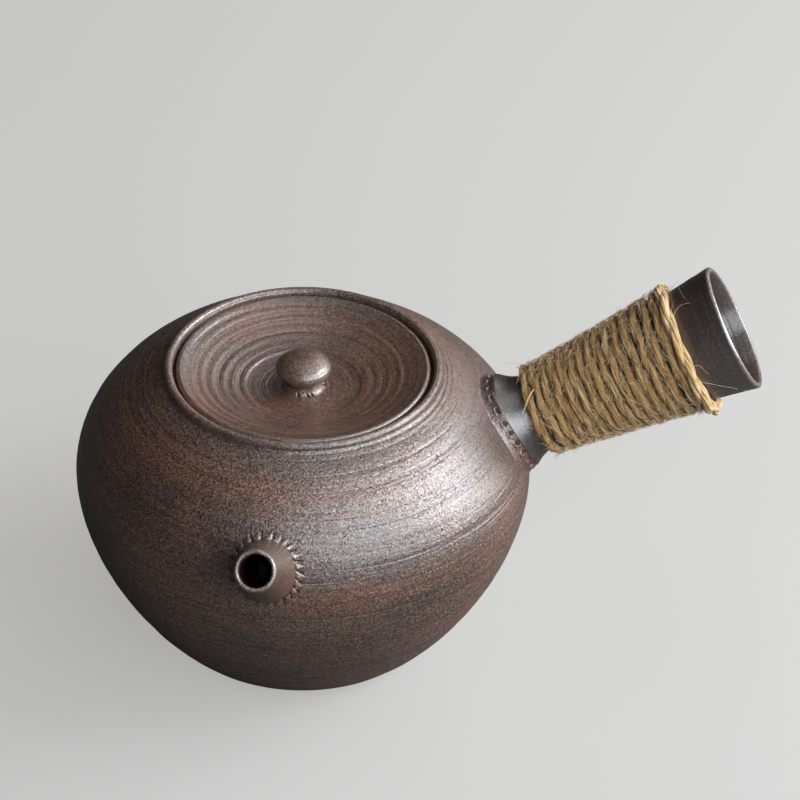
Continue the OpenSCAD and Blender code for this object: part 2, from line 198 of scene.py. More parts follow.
class TeapotSpoutSizes(PropertyGroup):
    """Sizes of the spout."""

    turn: slope("Turn", "Angle about the pot from the handle to the spout", -99)
    height: length("Height", "Height at which the axis leaves the wall", 52 * MM)
    tilt: slope("Tilt", "Rise of the axis above level", 37.5)
    reach: length("Length", "Length along the axis", 14.4 * MM)
    mouth_d: length("Mouth", "Outer diameter of the mouth", 9 * MM)
    foot_d: length("Foot", "Outer diameter where the axis leaves the wall", 13.6 * MM)
    bore_d: length("Bore", "Diameter of the bore", 7.2 * MM)
    bore_len: length("Bore length", "Length of the straight bore behind the mouth", 9 * MM)
    throat_d: length("Throat", "Diameter of the hole through the wall", 10 * MM)


class TeapotHandleSizes(PropertyGroup):
    """Sizes of the hollow handle and its winding."""

    height: length("Height", "Height at which the axis leaves the wall", 55.8 * MM)
    tilt: slope("Tilt", "Rise of the axis above level", 28.6)
    reach: length("Length", "Length along the axis", 54.8 * MM)
    foot_d: length("Foot", "Outer diameter of the foot", 23.4 * MM)
    waist_d: length("Waist", "Outer diameter at the waist", 17.6 * MM)
    waist_at: length("Waist distance", "Distance of the waist from the wall", 7.5 * MM)
    end_d: length("End", "Outer diameter of the open end", 29.4 * MM)
    wall: length("Wall", "Thickness of the wall", 2.2 * MM)
    lip_t: length("Lip", "Thickness of the lip at the open end", 1.3 * MM)
    pits: quantity("Tool pits", "Pits pressed round the foot", 24, 8)
    twine_d: length("Twine", "Thickness of the twine as wound", 2.3 * MM)
    twine_pitch: length("Twine pitch", "Advance of the winding in one turn", 2.34 * MM)
    twine_from: length("Twine start", "Distance of the first turn from the wall", 6.1 * MM)
    twine_turns: quantity("Twine turns", "Turns of twine on the handle", 16, 2)
    fibres: quantity("Loose fibres", "Stray fibres that stand off the twine", 3800, 0)


class TeapotLidSizes(PropertyGroup):
    """Sizes of the lid and its knob."""

    lid_d: length("Lid", "Outer diameter of the lid", 2 * LID_BOX[1][0])
    top_z: length("Edge height", "Height of the lid's edge above the table", 70.8 * MM)
    edge_t: length("Edge", "Thickness of the lid's edge", 3.2 * MM)
    lid_t: length("Middle", "Thickness of the dished middle", 3.2 * MM)
    dish_depth: length("Dish", "Depth of the dish at its middle", 5.8 * MM)
    step_r: length("Step", "Radius of the step under the lid", 23.7 * MM)
    flat_r: length("Flat", "Radius of the flat under the knob", 6.4 * MM)
    ring_pitch: length("Ring spacing", "Spacing of the throwing rings in the dish", 2.4 * MM)
    ring_h: length("Rings", "Height of the throwing rings in the dish", 0.2 * MM)
    dish_step_d: length("Dish step", "Diameter of the step in the dish", 25.8 * MM)
    dish_step_h: length("Dish step height", "Height of the step in the dish", 0.25 * MM)
    knob_d: length("Knob", "Diameter of the knob's ball", 2 * KNOB_BOX[1][0])
    knob_h: length("Knob ball", "Height of the knob's ball", 6.4 * MM)
    knob_mid: length("Knob middle", "Height of the ball's middle above the dish", 5.2 * MM)
    knob_neck_d: length("Knob neck", "Diameter of the knob's neck", 7.6 * MM)


class TeapotLooks(PropertyGroup):
    """Colours of the clay, the twine and the stage."""

    clay: tint("Clay", "Fired clay of the body and the lid", (0.108, 0.054, 0.037))
    # Dark clay also paints the shade in pits, pores, tool cuts, the spout's bore, the handle's hollow and the
    # strainer
    clay_dark: tint("Dark clay", "Smoked patches of the clay", (0.044, 0.025, 0.018))
    # Sand also paints the highlight on the luted teeth
    clay_sand: tint("Sand", "Pale grains and rubbed edges of the clay", (0.30, 0.22, 0.18))
    handle_clay: tint("Handle clay", "Darker, smoother clay of the handle", (0.052, 0.038, 0.034))
    twine: tint("Twine", "Main colour of the twine", (0.60, 0.33, 0.10))
    twine_pale: tint("Pale fibre", "Paler fibres of the twine", (0.82, 0.62, 0.36))
    # Dark fibre also paints the shade of the twine's core in the gaps
    twine_dark: tint("Dark fibre", "Darker fibres of the twine", (0.10, 0.045, 0.012))
    floor: tint("Floor", "Pale studio floor", (0.52, 0.515, 0.505))
    gloss: share("Roughness", "Roughness of the fired clay", 0.43)


class Wall:
    """Profile of the pot's outer wall, from the foot over the belly to the neck."""

    def __init__(self, sizes, steps=160):
        belly_r = sizes.belly_d / 2
        foot_r = sizes.foot_d / 2
        neck_r = sizes.neck_d / 2
        rise = sizes.shoulder_z - sizes.belly_z
        spread = belly_r - neck_r
        low = geometry.interpolate_bezier(
            (foot_r, 0),
            (foot_r + FOOT_OUT * (belly_r - foot_r), FOOT_UP * sizes.belly_z),
            (belly_r, BELLY_DOWN * sizes.belly_z),
            (belly_r, sizes.belly_z),
            steps,
        )
        high = geometry.interpolate_bezier(
            (belly_r, sizes.belly_z),
            (belly_r, sizes.belly_z + BELLY_UP * rise),
            (neck_r + SHOULDER_OUT * spread, sizes.shoulder_z - SHOULDER_OUT * SHOULDER_SLOPE * spread),
            (neck_r, sizes.shoulder_z),
            steps,
        )
        self.line = [Vector(p) for p in low] + [Vector(p) for p in high[1:]]

    def inside(self, thickness):
        """The same profile moved in square to itself."""
        moved = []
        for i, point in enumerate(self.line):
            way = self.line[min(i + 1, len(self.line) - 1)] - self.line[max(i - 1, 0)]
            way.normalize()
            moved.append(point - thickness * Vector((way.y, -way.x)))
        return moved

    def radius(self, z):
        """Outer radius at a height."""
        low, high = 0, len(self.line) - 1
        while high - low > 1:
            mid = (low + high) // 2
            if self.line[mid].y > z:
                high = mid
            else:
                low = mid
        a, b = self.line[low], self.line[high]
        return a.x + (b.x - a.x) * (z - a.y) / (b.y - a.y)

    def way(self, point):
        """Direction square to the wall at a point on it."""
        lean = (self.radius(point.z + TINY) - self.radius(point.z - TINY)) / (2 * TINY)
        flat = Vector((point.x, point.y, 0)).normalized()
        return Vector((flat.x, flat.y, -lean)).normalized()


class Joint:
    """A round foot luted to the wall: its axis, its skin, and the line on which skin and wall meet."""

    def __init__(self, wall, turn, height, tilt, skin, root):
        flat = Vector((math.cos(turn), math.sin(turn), 0))
        up = Vector((0, 0, 1))
        self.wall = wall
        self.skin = skin
        self.root = root
        self.origin = flat * wall.radius(height) + up * height
        self.axis = flat * math.cos(tilt) + up * math.sin(tilt)
        self.up = up * math.cos(tilt) - flat * math.sin(tilt)
        self.side = Vector((math.sin(turn), -math.cos(turn), 0))
        self.met = {}

    def out(self, angle):
        """Direction square to the axis; angle 0 is up and a quarter turn is to the side."""
        return self.up * math.cos(angle) + self.side * math.sin(angle)

    def place(self, s, r, angle):
        """Point at distance s along the axis and r from it."""
        return self.origin + self.axis * s + self.out(angle) * r

    def meet(self, angle, skin=None):
        """Distance along the axis at which the skin meets the wall, found by halving the span."""
        skin = skin or self.skin
        key = (round(angle, 5), skin)
        if key not in self.met:
            low, high = -self.root, self.root
            for _ in range(24):
                mid = (low + high) / 2
                p = self.place(mid, skin(mid), angle)
                if math.hypot(p.x, p.y) > self.wall.radius(p.z):
                    high = mid
                else:
                    low = mid
            self.met[key] = (low + high) / 2
        return self.met[key]

    def skin_way(self, s, angle):
        """Direction square to the skin."""
        lean = (self.skin(s + TINY) - self.skin(s - TINY)) / (2 * TINY)
        return (self.out(angle) - self.axis * lean).normalized()

    def clear(self, point, start, end):
        """How far a point of the wall lies clear of the foot, from 0 to 1."""
        off = point - self.origin
        along = off.dot(self.axis)
        if along < -self.root:
            return 1.0
        return blend(start, end, (off - self.axis * along).length)

    def matrix(self):
        """Turns the foot's own frame, with its axis up, into the pot's."""
        columns = (self.up, self.side, self.axis)
        turned = Matrix([[c[i] for c in columns] for i in range(3)]).to_4x4()
        return Matrix.Translation(self.origin) @ turned


def spout_joint(scene):
    """The spout's joint with the wall."""
    s = scene.teapot_spout

    def skin(at):
        flare = (s.foot_d - s.mouth_d) / 2
        return s.mouth_d / 2 + flare * max(1 - at / s.reach, 0) ** 1.25

    return Joint(Wall(scene.teapot_body), s.turn, s.height, s.tilt, skin, s.foot_d / 2)


def handle_joint(scene):
    """The handle's joint with the wall."""
    h = scene.teapot_handle

    def skin(at):
        waist_r = h.waist_d / 2
        if at < h.waist_at:
            return waist_r + (h.foot_d - h.waist_d) / 2 * (1 - max(at, 0.0) / h.waist_at) ** 2.3
        return waist_r + (h.end_d - h.waist_d) / 2 * ((at - h.waist_at) / (h.reach - h.waist_at)) ** 1.3

    return Joint(Wall(scene.teapot_body), 0.0, h.height, h.tilt, skin, h.foot_d / 2)


def arc(centre, radius, start, end, steps, wear=0.0):
    """Points of an arc in a profile, from one angle to another in degrees, with a share of wear."""
    angles = [math.radians(start + (end - start) * i / steps) for i in range(steps + 1)]
    return [(centre[0] + radius * math.cos(a), centre[1] + radius * math.sin(a), wear) for a in angles]


def finer(profile, step):
    """The profile of (radius, height, wear) with every stretch divided down to the step."""
    points = []
    for a, b in zip(profile, profile[1:]):
        parts = max(1, math.ceil(math.hypot(b[0] - a[0], b[1] - a[1]) / step))
        for i in range(parts):
            t = i / parts
            points.append(tuple(p + (q - p) * t for p, q in zip(a, b)))
    points.append(profile[-1])
    return points


def polar(v):
    """A vertex's distance from the Z axis and its angle about it."""
    return math.hypot(v.co.x, v.co.y), math.atan2(v.co.y, v.co.x)


def push_out(v, distance):
    """Moves a vertex straight away from the Z axis."""
    grow = 1 + distance / math.hypot(v.co.x, v.co.y)
    v.co.x *= grow
    v.co.y *= grow


def layer(bm, name):
    """A number that every vertex keeps, made on first use."""
    layers = bm.verts.layers.float
    return layers.get(name) or layers.new(name)


def spin_round(bm, steps):
    """Spins all that a bmesh holds once about the Z axis."""
    whole = bm.verts[:] + bm.edges[:]
    bmesh.ops.spin(bm, geom=whole, cent=(0, 0, 0), axis=(0, 0, 1), angle=TURN, steps=steps, use_merge=True)


def thrown(profile, steps, closed=False):
    """A bmesh turned on the wheel: the profile spun about Z, with run and wear kept on the vertices."""
    bm = bmesh.new()
    run_layer = layer(bm, "run")
    wear_and_highlight_layer = layer(bm, "wear")
    run = 0.0
    first = before = None
    for r, z, wear in profile:
        vert = bm.verts.new((r, 0, z))
        vert[wear_and_highlight_layer] = wear
        if before:
            run += (vert.co - before.co).length
            bm.edges.new((before, vert))
        vert[run_layer] = run
        first = first or vert
        before = vert
    if closed:
        bm.edges.new((before, first))
    spin_round(bm, steps)
    poles = [v for v in bm.verts if polar(v)[0] < 0.01 * MM]
    bmesh.ops.remove_doubles(bm, verts=poles, dist=0.02 * MM)
    return bm


def mesh_of(bm, name):
    """The mesh of a bmesh, which is freed."""
    mesh = bpy.data.meshes.new(name)
    bm.to_mesh(mesh)
    bm.free()
    return mesh


def new_object(name, data, home=None):
    """An object in a collection, or in the one that is active."""
    made = bpy.data.objects.new(name, data)
    (home or bpy.context.collection).objects.link(made)
    return made


def shown_mesh(piece):
    """The mesh that an object shows with its modifiers or its bevel."""
    bpy.context.view_layer.update()
    graph = bpy.context.evaluated_depsgraph_get()
    return bpy.data.meshes.new_from_object(piece.evaluated_get(graph))


def finish_piece(bm, name, material, body, node):
    """Makes the object of a bmesh, smooth with its normals outwards, and ties it to the frame."""
    bmesh.ops.recalc_face_normals(bm, faces=bm.faces[:])
    for face in bm.faces:
        face.smooth = True
    piece = new_object(name, mesh_of(bm, name))
    piece.data.materials.append(material_of(material))
    tie(piece, body, node)
    return piece


def tie(piece, body, node=None):
    """Lets a piece ride on its body, in place of its CAD node if it has one."""
    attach(piece, body)
    if node:
        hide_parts(node)


def blend(low, high, value):
    """Smooth step from 0 to 1 between two values."""
    t = min(max((value - low) / (high - low), 0.0), 1.0)
    return t * t * (3 - 2 * t)


def ring_noise(angle, spread, height):
    """Noise that closes on itself round the axis."""
    return noise.noise((spread * math.cos(angle), spread * math.sin(angle), height))


def throwing_marks(angle, run, coarse, fine):
    """Marks that the fingers leave round a thrown wall: noise drawn out along each turn, a little wavy."""
    wander = run + 0.7 * MM * math.sin(angle + 1.1) + 0.4 * MM * math.sin(2 * angle + run * 90)
    wide = ring_noise(angle, 0.8, wander / coarse + 11.3)
    narrow = ring_noise(angle, 1.3, wander / fine + 37.9)
    return 0.6 * wide + 0.45 * narrow


def out_of_round(angle, z):
    """Slow swelling of a hand-thrown form."""
    return ring_noise(angle, 1.1, z / (30 * MM) + 5.7)


def put(tree, socket, value):
    """Links an output to a socket, or sets the socket's own value."""
    if isinstance(value, bpy.types.NodeSocket):
        tree.links.new(value, socket)
    else:
        socket.default_value = value


def fill(tree, node, **values):
    """Links or sets inputs of a node by their names."""
    for key, value in values.items():
        put(tree, node.inputs[key.replace("_", " ")], value)


def add_node(tree, kind, **values):
    """Adds a shader node and links or sets its inputs by name."""
    node = tree.nodes.new(kind)
    fill(tree, node, **values)
    return node


def rgba(colour, dim=1.0):
    """A colour with full opacity, dimmed by a factor."""
    return (colour[0] * dim, colour[1] * dim, colour[2] * dim, 1.0)


def mix_colour(tree, factor, first, second, how="MIX"):
    """Mixes two colours by a factor."""
    node = tree.nodes.new("ShaderNodeMix")
    node.data_type = "RGBA"
    node.blend_type = how
    put(tree, node.inputs[0], factor)
    put(tree, node.inputs[6], first)
    put(tree, node.inputs[7], second)
    return node.outputs[2]


def calc(tree, how, *values, kind="ShaderNodeMath"):
    """A sum in a material."""
    node = tree.nodes.new(kind)
    node.operation = how
    for socket, value in zip(node.inputs, values):
        put(tree, socket, value)
    return node.outputs[0]


def vector_calc(tree, how, *values):
    """A sum of vectors in a material."""
    return calc(tree, how, *values, kind="ShaderNodeVectorMath")


def span(tree, value, low, high, start=0.0, end=1.0):
    """Maps a value from one span smoothly to another."""
    node = add_node(
        tree, "ShaderNodeMapRange", Value=value, From_Min=low, From_Max=high, To_Min=start, To_Max=end
    )
    node.interpolation_type = "SMOOTHSTEP"
    return node.outputs["Result"]


def noise_at(tree, vector, scale, detail, rough):
    """Fractal noise over a vector."""
    node = add_node(tree, "ShaderNodeTexNoise", Vector=vector, Scale=scale, Detail=detail, Roughness=rough)
    return node.outputs["Fac"]


def attribute(tree, name):
    """Outputs of a value that the mesh carries."""
    node = tree.nodes.new("ShaderNodeAttribute")
    node.attribute_name = name
    return node.outputs


def object_place(tree):
    """Coordinates in the object's own frame."""
    return tree.nodes.new("ShaderNodeTexCoord").outputs["Object"]


def camera_ray(tree):
    """1 for what the camera sees itself, 0 for the light that things send on."""
    return tree.nodes.new("ShaderNodeLightPath").outputs["Is Camera Ray"]


def stretched(tree, along, around, run):
    """Object coordinates squeezed so that noise runs in lines round the wheel's axis."""
    parts = add_node(tree, "ShaderNodeSeparateXYZ", Vector=object_place(tree)).outputs
    x, y = (calc(tree, "MULTIPLY", parts[axis], around) for axis in "XY")
    z = calc(tree, "MULTIPLY", run, along)
    return add_node(tree, "ShaderNodeCombineXYZ", X=x, Y=y, Z=z).outputs["Vector"]


def bumped(tree, strength, depth, height, **below):
    """Normal of a surface with a relief of the given depth."""
    return add_node(
        tree, "ShaderNodeBump", Strength=strength, Distance=depth, Height=height, **below
    ).outputs["Normal"]


def new_material(name):
    """A node material with its tree and its shader."""
    material = bpy.data.materials.new(name)
    material.use_nodes = True
    return material, material.node_tree, material.node_tree.nodes["Principled BSDF"]


def clay_material(name, looks, colour, smooth, marks, shade):
    """Fired sandy clay: smoked patches, rust bands, throwing lines, pits, sand and rubbed edges.

    The pits are small spots painted dark as the shade in pores. The mesh's shade share paints shade in its
    recesses, and its wear share paints rubbed edges and, on the luted teeth, a pale highlight.
    """
    material, tree, shader = new_material(name)
    place = object_place(tree)
    run, wear, pressed = (attribute(tree, kept)["Fac"] for kept in ("run", "wear", "pressed"))
    # painted shade: the mesh's shade share, at least the clay's own share of painted shade
    pressed = calc(tree, "MAXIMUM", pressed, shade)
    coarse = 1 - 0.8 * smooth

    patches = noise_at(tree, place, PATCH_SCALE, 3.0, 0.55)
    bands = noise_at(tree, stretched(tree, *BAND_SCALE, run), 1.0, 3.0, 0.6)
    lines = noise_at(tree, stretched(tree, *LINE_SCALE, run), 1.0, 2.0, 0.6)
    pores = noise_at(tree, place, PORE_SCALE, 2.0, 0.6)
    score = span(tree, lines, 0.35, 0.52, 1.0, 0.0)
    grains = add_node(tree, "ShaderNodeTexVoronoi", Vector=place, Scale=GRAIN_SCALE).outputs["Color"]
    grit, chance, glint = add_node(tree, "ShaderNodeSeparateColor", Color=grains).outputs[:3]
    # pit: small spots painted dark, with less shine, as the shade in pores
    pit = span(tree, chance, 0.02, 0.12, 1.0, 0.0)
    # rubbed edges, and the painted highlight on the luted teeth, from the mesh's wear share
    rubbed_and_highlit = calc(tree, "MULTIPLY", wear, span(tree, grit, 0.1, 0.9, 0.1, 1.0))
    smoked = span(tree, patches, 0.33, 0.66, 0.25, 1.0)
    sandy = span(tree, grit, 0.0, 1.0, 1 - 0.65 * coarse, 1 + 0.65 * coarse)

    base = mix_colour(tree, smoked, rgba(looks.clay_dark), rgba(colour))
    rust = (colour[0] * 1.45, colour[1] * 1.12, colour[2] * 0.95)
    coats = (
        (span(tree, bands, 0.46, 0.66, 0.0, 0.55), rgba(rust), "MIX"),
        (calc(tree, "MULTIPLY", score, 0.4 * marks), rgba(looks.clay_dark), "MIX"),
        (1.0, sandy, "MULTIPLY"),
        # painted shade in the pits
        (calc(tree, "MULTIPLY", pit, 0.55 * coarse), rgba(looks.clay_dark, 0.4), "MIX"),
        (span(tree, chance, 0.84, 0.98, 0.0, 0.6 * coarse), rgba(looks.clay_sand), "MIX"),
        # pale where rubbed, and pale as a painted highlight on the luted teeth
        (rubbed_and_highlit, rgba(looks.clay_sand), "MIX"),
        # painted shade: the colour drawn towards dark clay by the shade share
        (pressed, rgba(looks.clay_dark, 0.35), "MIX"),
    )
    for factor, coat, how in coats:
        base = mix_colour(tree, factor, base, coat, how)

    shine = span(tree, glint, 0.0, 1.0, 1.0, 1 - 0.4 * coarse)
    # less shine in the painted pits
    shine = calc(tree, "MULTIPLY", shine, calc(tree, "MULTIPLY_ADD", pit, -0.8 * coarse, 1.0))
    # no shine where shade is painted
    shine = calc(tree, "MULTIPLY", shine, calc(tree, "SUBTRACT", 1.0, pressed))
    relief = bumped(tree, 0.9 * marks, 0.09 * MM, calc(tree, "SUBTRACT", lines, score))
    relief = bumped(tree, coarse, 0.1 * MM, pores, Normal=relief)
    lean = vector_calc(tree, "SUBTRACT", grains, (0.5, 0.5, 0.5))
    lean = vector_calc(tree, "MULTIPLY", lean, [0.2 * coarse] * 3)
    normal = vector_calc(tree, "NORMALIZE", vector_calc(tree, "ADD", relief, lean))
    rough = looks.gloss - 0.1 * smooth
    fill(tree, shader, Base_Color=base, Roughness=rough, Specular_IOR_Level=shine, IOR=1.8, Normal=normal)
    return material


def twine_material(looks):
    """Jute: fibres drawn out along each strand, from dark brown to pale straw."""
    material, tree, shader = new_material("twine_jute")
    lay = attribute(tree, "lay")["Vector"]
    tone = attribute(tree, "tone")["Fac"]
    fibre = noise_at(tree, lay, 1.0, 3.0, 0.6)
    fine = noise_at(tree, lay, 2.7, 2.0, 0.6)
    pale, dark = rgba(looks.twine_pale), rgba(looks.twine_dark)
    base = mix_colour(tree, span(tree, fibre, 0.36, 0.56), dark, rgba(looks.twine))
    base = mix_colour(tree, span(tree, fine, 0.52, 0.75, 0.0, 0.8), base, pale)
    base = mix_colour(tree, span(tree, tone, 0.0, 1.0), base, pale)
    base = mix_colour(tree, span(tree, tone, -0.6, 0.0, 0.8, 0.0), base, dark)
    relief = bumped(tree, 0.8, 0.09 * MM, fine)
    fill(tree, shader, Base_Color=base, Roughness=0.78, Specular_IOR_Level=0.3, Normal=relief)
    fill(tree, shader, Sheen_Weight=0.25, Sheen_Roughness=0.5)
    return material


def floor_material(looks):
    """Matt studio paper: pale to the camera, darker towards the pot, whose shaded side stays deep."""
    material, tree, shader = new_material("studio_floor")
    cloud = noise_at(tree, object_place(tree), 3.0, 2.0, 0.5)
    pale = mix_colour(tree, cloud, rgba(looks.floor), rgba(looks.floor, 1.03))
    seen = camera_ray(tree)
    lit = mix_colour(tree, seen, rgba([FLOOR_BOUNCE] * 3), rgba([FLOOR_LIT] * 3))
    base = mix_colour(tree, 1.0, pale, lit, "MULTIPLY")
    glow = calc(tree, "MULTIPLY", seen, FLOOR_GLOW)
    fill(tree, shader, Base_Color=base, Emission_Color=pale, Emission_Strength=glow)
    fill(tree, shader, Roughness=0.85, Specular_IOR_Level=0.0)
    return material


def material_of(name):
    """A material of the teapot by its name, made on first use."""
    if name in bpy.data.materials:
        return bpy.data.materials[name]
    looks = bpy.context.scene.teapot_looks
    if name == "twine_jute":
        return twine_material(looks)
    key, dim, smooth, marks, shade = CLAYS[name]
    return clay_material(name, looks, rgba(getattr(looks, key), dim), smooth, marks, shade)


def body_profile(b, wall):
    """Half section of the body: under the foot, up the wall, over the rim, down the gallery and inside."""
    foot_r = b.foot_d / 2
    ease = 0.7 * MM
    hollow = 0.5 * MM
    under_foot = [(0, hollow, 0), (foot_r - 6 * MM, hollow, 0), (foot_r - 4.5 * MM, 0, 0.2)]
    edge = [(foot_r - ease, 0, 0.3), (foot_r, 0.25 * ease, 0.3)]
    outside = [(p.x, p.y, 0.0) for p in wall.line if p.y > ease]
    profile = under_foot + finer(edge + outside[::2], 0.42 * MM)
    collar_r = b.rim_r + b.rim_w
    fillet = 1.3 * MM
    lean = math.atan(SHOULDER_SLOPE)
    start_r = collar_r + fillet * (1 - math.sin(lean))
    start_z = b.shoulder_z + SHOULDER_SLOPE * (b.neck_d / 2 - start_r)
    middle = (collar_r + fillet, start_z + fillet * math.cos(lean))
    profile += arc(middle, fillet, 270 - math.degrees(lean), 180, 8)
    lip = b.rim_w / 2
    profile += arc((collar_r - lip, b.rim_z - lip), lip, 0, 180, 12, 0.2)
    under = b.ledge_z - b.ledge_t
    bevel, mouth_bevel = 0.3 * MM, 0.4 * MM
    gallery = [
        (b.rim_r, b.ledge_z + bevel, 0.0),
        (b.rim_r - bevel, b.ledge_z, 0.0),
        (b.mouth_r + mouth_bevel, b.ledge_z, 0.3),
        (b.mouth_r, b.ledge_z - mouth_bevel, 0.3),
        (b.mouth_r, under, 0.0),
    ]
    inside = [(p.x, p.y, 0.0) for p in wall.inside(b.wall) if b.floor_t < p.y < under]
    inside.reverse()
    floor_edge = (inside[-1][0] - 1.5 * MM, b.floor_t, 0.0)
    profile += finer(gallery + inside[::6] + [inside[-1], floor_edge], 1.2 * MM)
    return profile + [(0, b.floor_t, 0.0)]


def pierce_wall(piece, scene):
    """Cuts the throat through the wall on the spout's axis."""
    s = scene.teapot_spout
    throat_r = s.throat_d / 2
    bm = bmesh.new()
    bmesh.ops.create_cone(
        bm, cap_ends=True, segments=64, radius1=throat_r, radius2=throat_r, depth=1.2 * s.foot_d,
        matrix=spout_joint(scene).matrix(),
    )
    drill = new_object("throat_drill", mesh_of(bm, "throat_drill"))
    cut = piece.modifiers.new("throat", "BOOLEAN")
    cut.operation = "DIFFERENCE"
    cut.solver = "EXACT"
    cut.object = drill
    pierced = shown_mesh(piece)
    piece.modifiers.remove(cut)
    spare = (piece.data, drill.data)
    piece.data = pierced
    bpy.data.objects.remove(drill)
    for mesh in spare:
        bpy.data.meshes.remove(mesh)
    pierced.name = piece.name


class TEAPOT_OT_body(Operator):
    """Throws the body with its collar and gallery, and pierces it behind the spout"""

    bl_idname = "teapot.body"
    bl_label = "Body"

    def execute(self, context):
        scene = context.scene
        b = scene.teapot_body
        wall = Wall(b)
        handle = handle_joint(scene)
        spout = spout_joint(scene)
        bm = thrown(body_profile(b, wall), BODY_STEPS)
        run_layer = layer(bm, "run")
        collar_marks = 0.35
        swell_h = 0.18 * MM
        for v in bm.verts:
            r, angle = polar(v)
            z = v.co.z
            if r < b.foot_d / 4:
                continue
            outer = blend(-1.6 * MM, -0.4 * MM, r - wall.radius(min(z, b.shoulder_z - 0.1 * MM)))
            if z > b.shoulder_z:
                outer = collar_marks
            low = blend(0.3 * MM, 3 * MM, z)
            shoulder = blend(b.belly_z + 6 * MM, b.shoulder_z - 4 * MM, z)
            under = 1 - blend(12 * MM, b.belly_z - 2 * MM, z)
            depth = 0.45 + 0.55 * max(shoulder, under)
            mark = throwing_marks(angle, v[run_layer], *BODY_MARKS) * b.ring_h * depth
            push = low * outer * mark + swell_h * low * out_of_round(angle, z)
            push *= handle.clear(v.co, *HANDLE_CLEAR) * spout.clear(v.co, *SPOUT_CLEAR)
            push_out(v, push)
        piece = finish_piece(bm, "thrown_body", "body_stoneware", "pot", "pot_body")
        pierce_wall(piece, scene)
        return {"FINISHED"}


def spun_tube(outer, inner, hollow, steps):
    """A hollow tube in its own frame, whose vertices keep whether they belong to the hollow."""
    bm = thrown(outer + inner, steps, closed=True)
    inner_layer = layer(bm, "inner")
    near = 0.2 * MM
    for v in bm.verts:
        v[inner_layer] = 1.0 if polar(v)[0] < hollow(v.co.z) + near else 0.0
    return bm


def seat_foot(bm, joint, hollow, reach):
    """Draws the foot of a spun tube onto the wall: full at the seam, fading out over the reach."""
    inner_layer = layer(bm, "inner")
    bury = 0.35 * MM
    for v in bm.verts:
        r, angle = polar(v)
        skin = hollow if v[inner_layer] > 0.5 else joint.skin
        held = 1 - min(max(v.co.z / reach, 0.0), 1.0)
        if held <= 0:
            continue
        at = v.co.z + held * joint.meet(angle, skin)
        if v.co.z <= 0:
            at -= bury
        wide = r + skin(at) - skin(v.co.z)
        v.co = (wide * math.cos(angle), wide * math.sin(angle), at)


class TEAPOT_OT_spout(Operator):
    """Throws the spout and seats it on the wall"""

    bl_idname = "teapot.spout"
    bl_label = "Spout"

    def execute(self, context):
        s = context.scene.teapot_spout
        joint = spout_joint(context.scene)
        bore_r = s.bore_d / 2
        throat_r = s.throat_d / 2
        cone = s.reach - s.bore_len

        def hollow(at):
            return bore_r + (throat_r - bore_r) * min(max(1 - at / cone, 0.0), 1.0)

        lip = (s.mouth_d / 2 - bore_r) / 2
        top = s.reach - lip
        rows = 26
        outer = [(joint.skin(at), at, 0.0) for at in (top * i / rows for i in range(rows))]
        outer += arc((bore_r + lip, top), lip, 0, 180, 12, 0.9)
        down = [top - (top - cone) * i / 8 for i in range(1, 9)] + [cone * (1 - i / 6) for i in range(1, 7)]
        inner = [(hollow(at), at, 0.0) for at in down]
        bm = spun_tube(outer, inner, hollow, SPOUT_STEPS)
        run_layer = layer(bm, "run")
        inner_layer = layer(bm, "inner")
        bore_shade_layer = layer(bm, "pressed")
        for v in bm.verts:
            angle = polar(v)[1]
            # painted shade inside the bore, fading out where the mouth is lit
            lit = blend(s.reach - 3.5 * MM, s.reach - 0.6 * MM, v.co.z)
            v[bore_shade_layer] = 0.95 * v[inner_layer] * (1 - lit)
            push_out(v, throwing_marks(angle, v[run_layer], *SPOUT_MARKS) * 0.1 * MM)
            v.co.z += 0.12 * MM * ring_noise(angle, 1.3, 3.1) * v.co.z / s.reach
        seat_foot(bm, joint, hollow, 0.75 * s.reach)
        bmesh.ops.transform(bm, matrix=joint.matrix(), verts=bm.verts[:])
        finish_piece(bm, "luted_spout", "spout_stoneware", "pot", "spout")
        return {"FINISHED"}


def mark_handle(bm):
    """Leaves throwing marks and a slow swelling on the tube."""
    run_layer = layer(bm, "run")
    inner_layer = layer(bm, "inner")
    for v in bm.verts:
        angle = polar(v)[1]
        z = v.co.z
        push = throwing_marks(angle, v[run_layer], *HANDLE_MARKS) * 0.09 * MM
        push *= blend(3 * MM, 6 * MM, z)
        push += 0.15 * MM * out_of_round(angle, z) * blend(8 * MM, 40 * MM, z)
        if v[inner_layer] > 0.5:
            push += 0.05 * MM * ring_noise(angle, 8, z / (16 * MM))
        push_out(v, push)


def groove_foot(bm, joint):
    """Sinks the foot under the fillet, for deep pits there painted dark with shade, and paints shade in the
    hollow.
    """
    inner_layer = layer(bm, "inner")
    shade_layer = layer(bm, "pressed")
    for v in bm.verts:
        if v[inner_layer] > 0.5:
            # painted shade in the handle's hollow
            v[shade_layer] = 0.35
            continue
        sunk = 1 - blend(2.15 * MM, 2.4 * MM, v.co.z - joint.meet(polar(v)[1]))
        push_out(v, -0.8 * MM * sunk)
        # painted shade on the skin sunk under the fillet, which darkens the pits
        v[shade_layer] = sunk


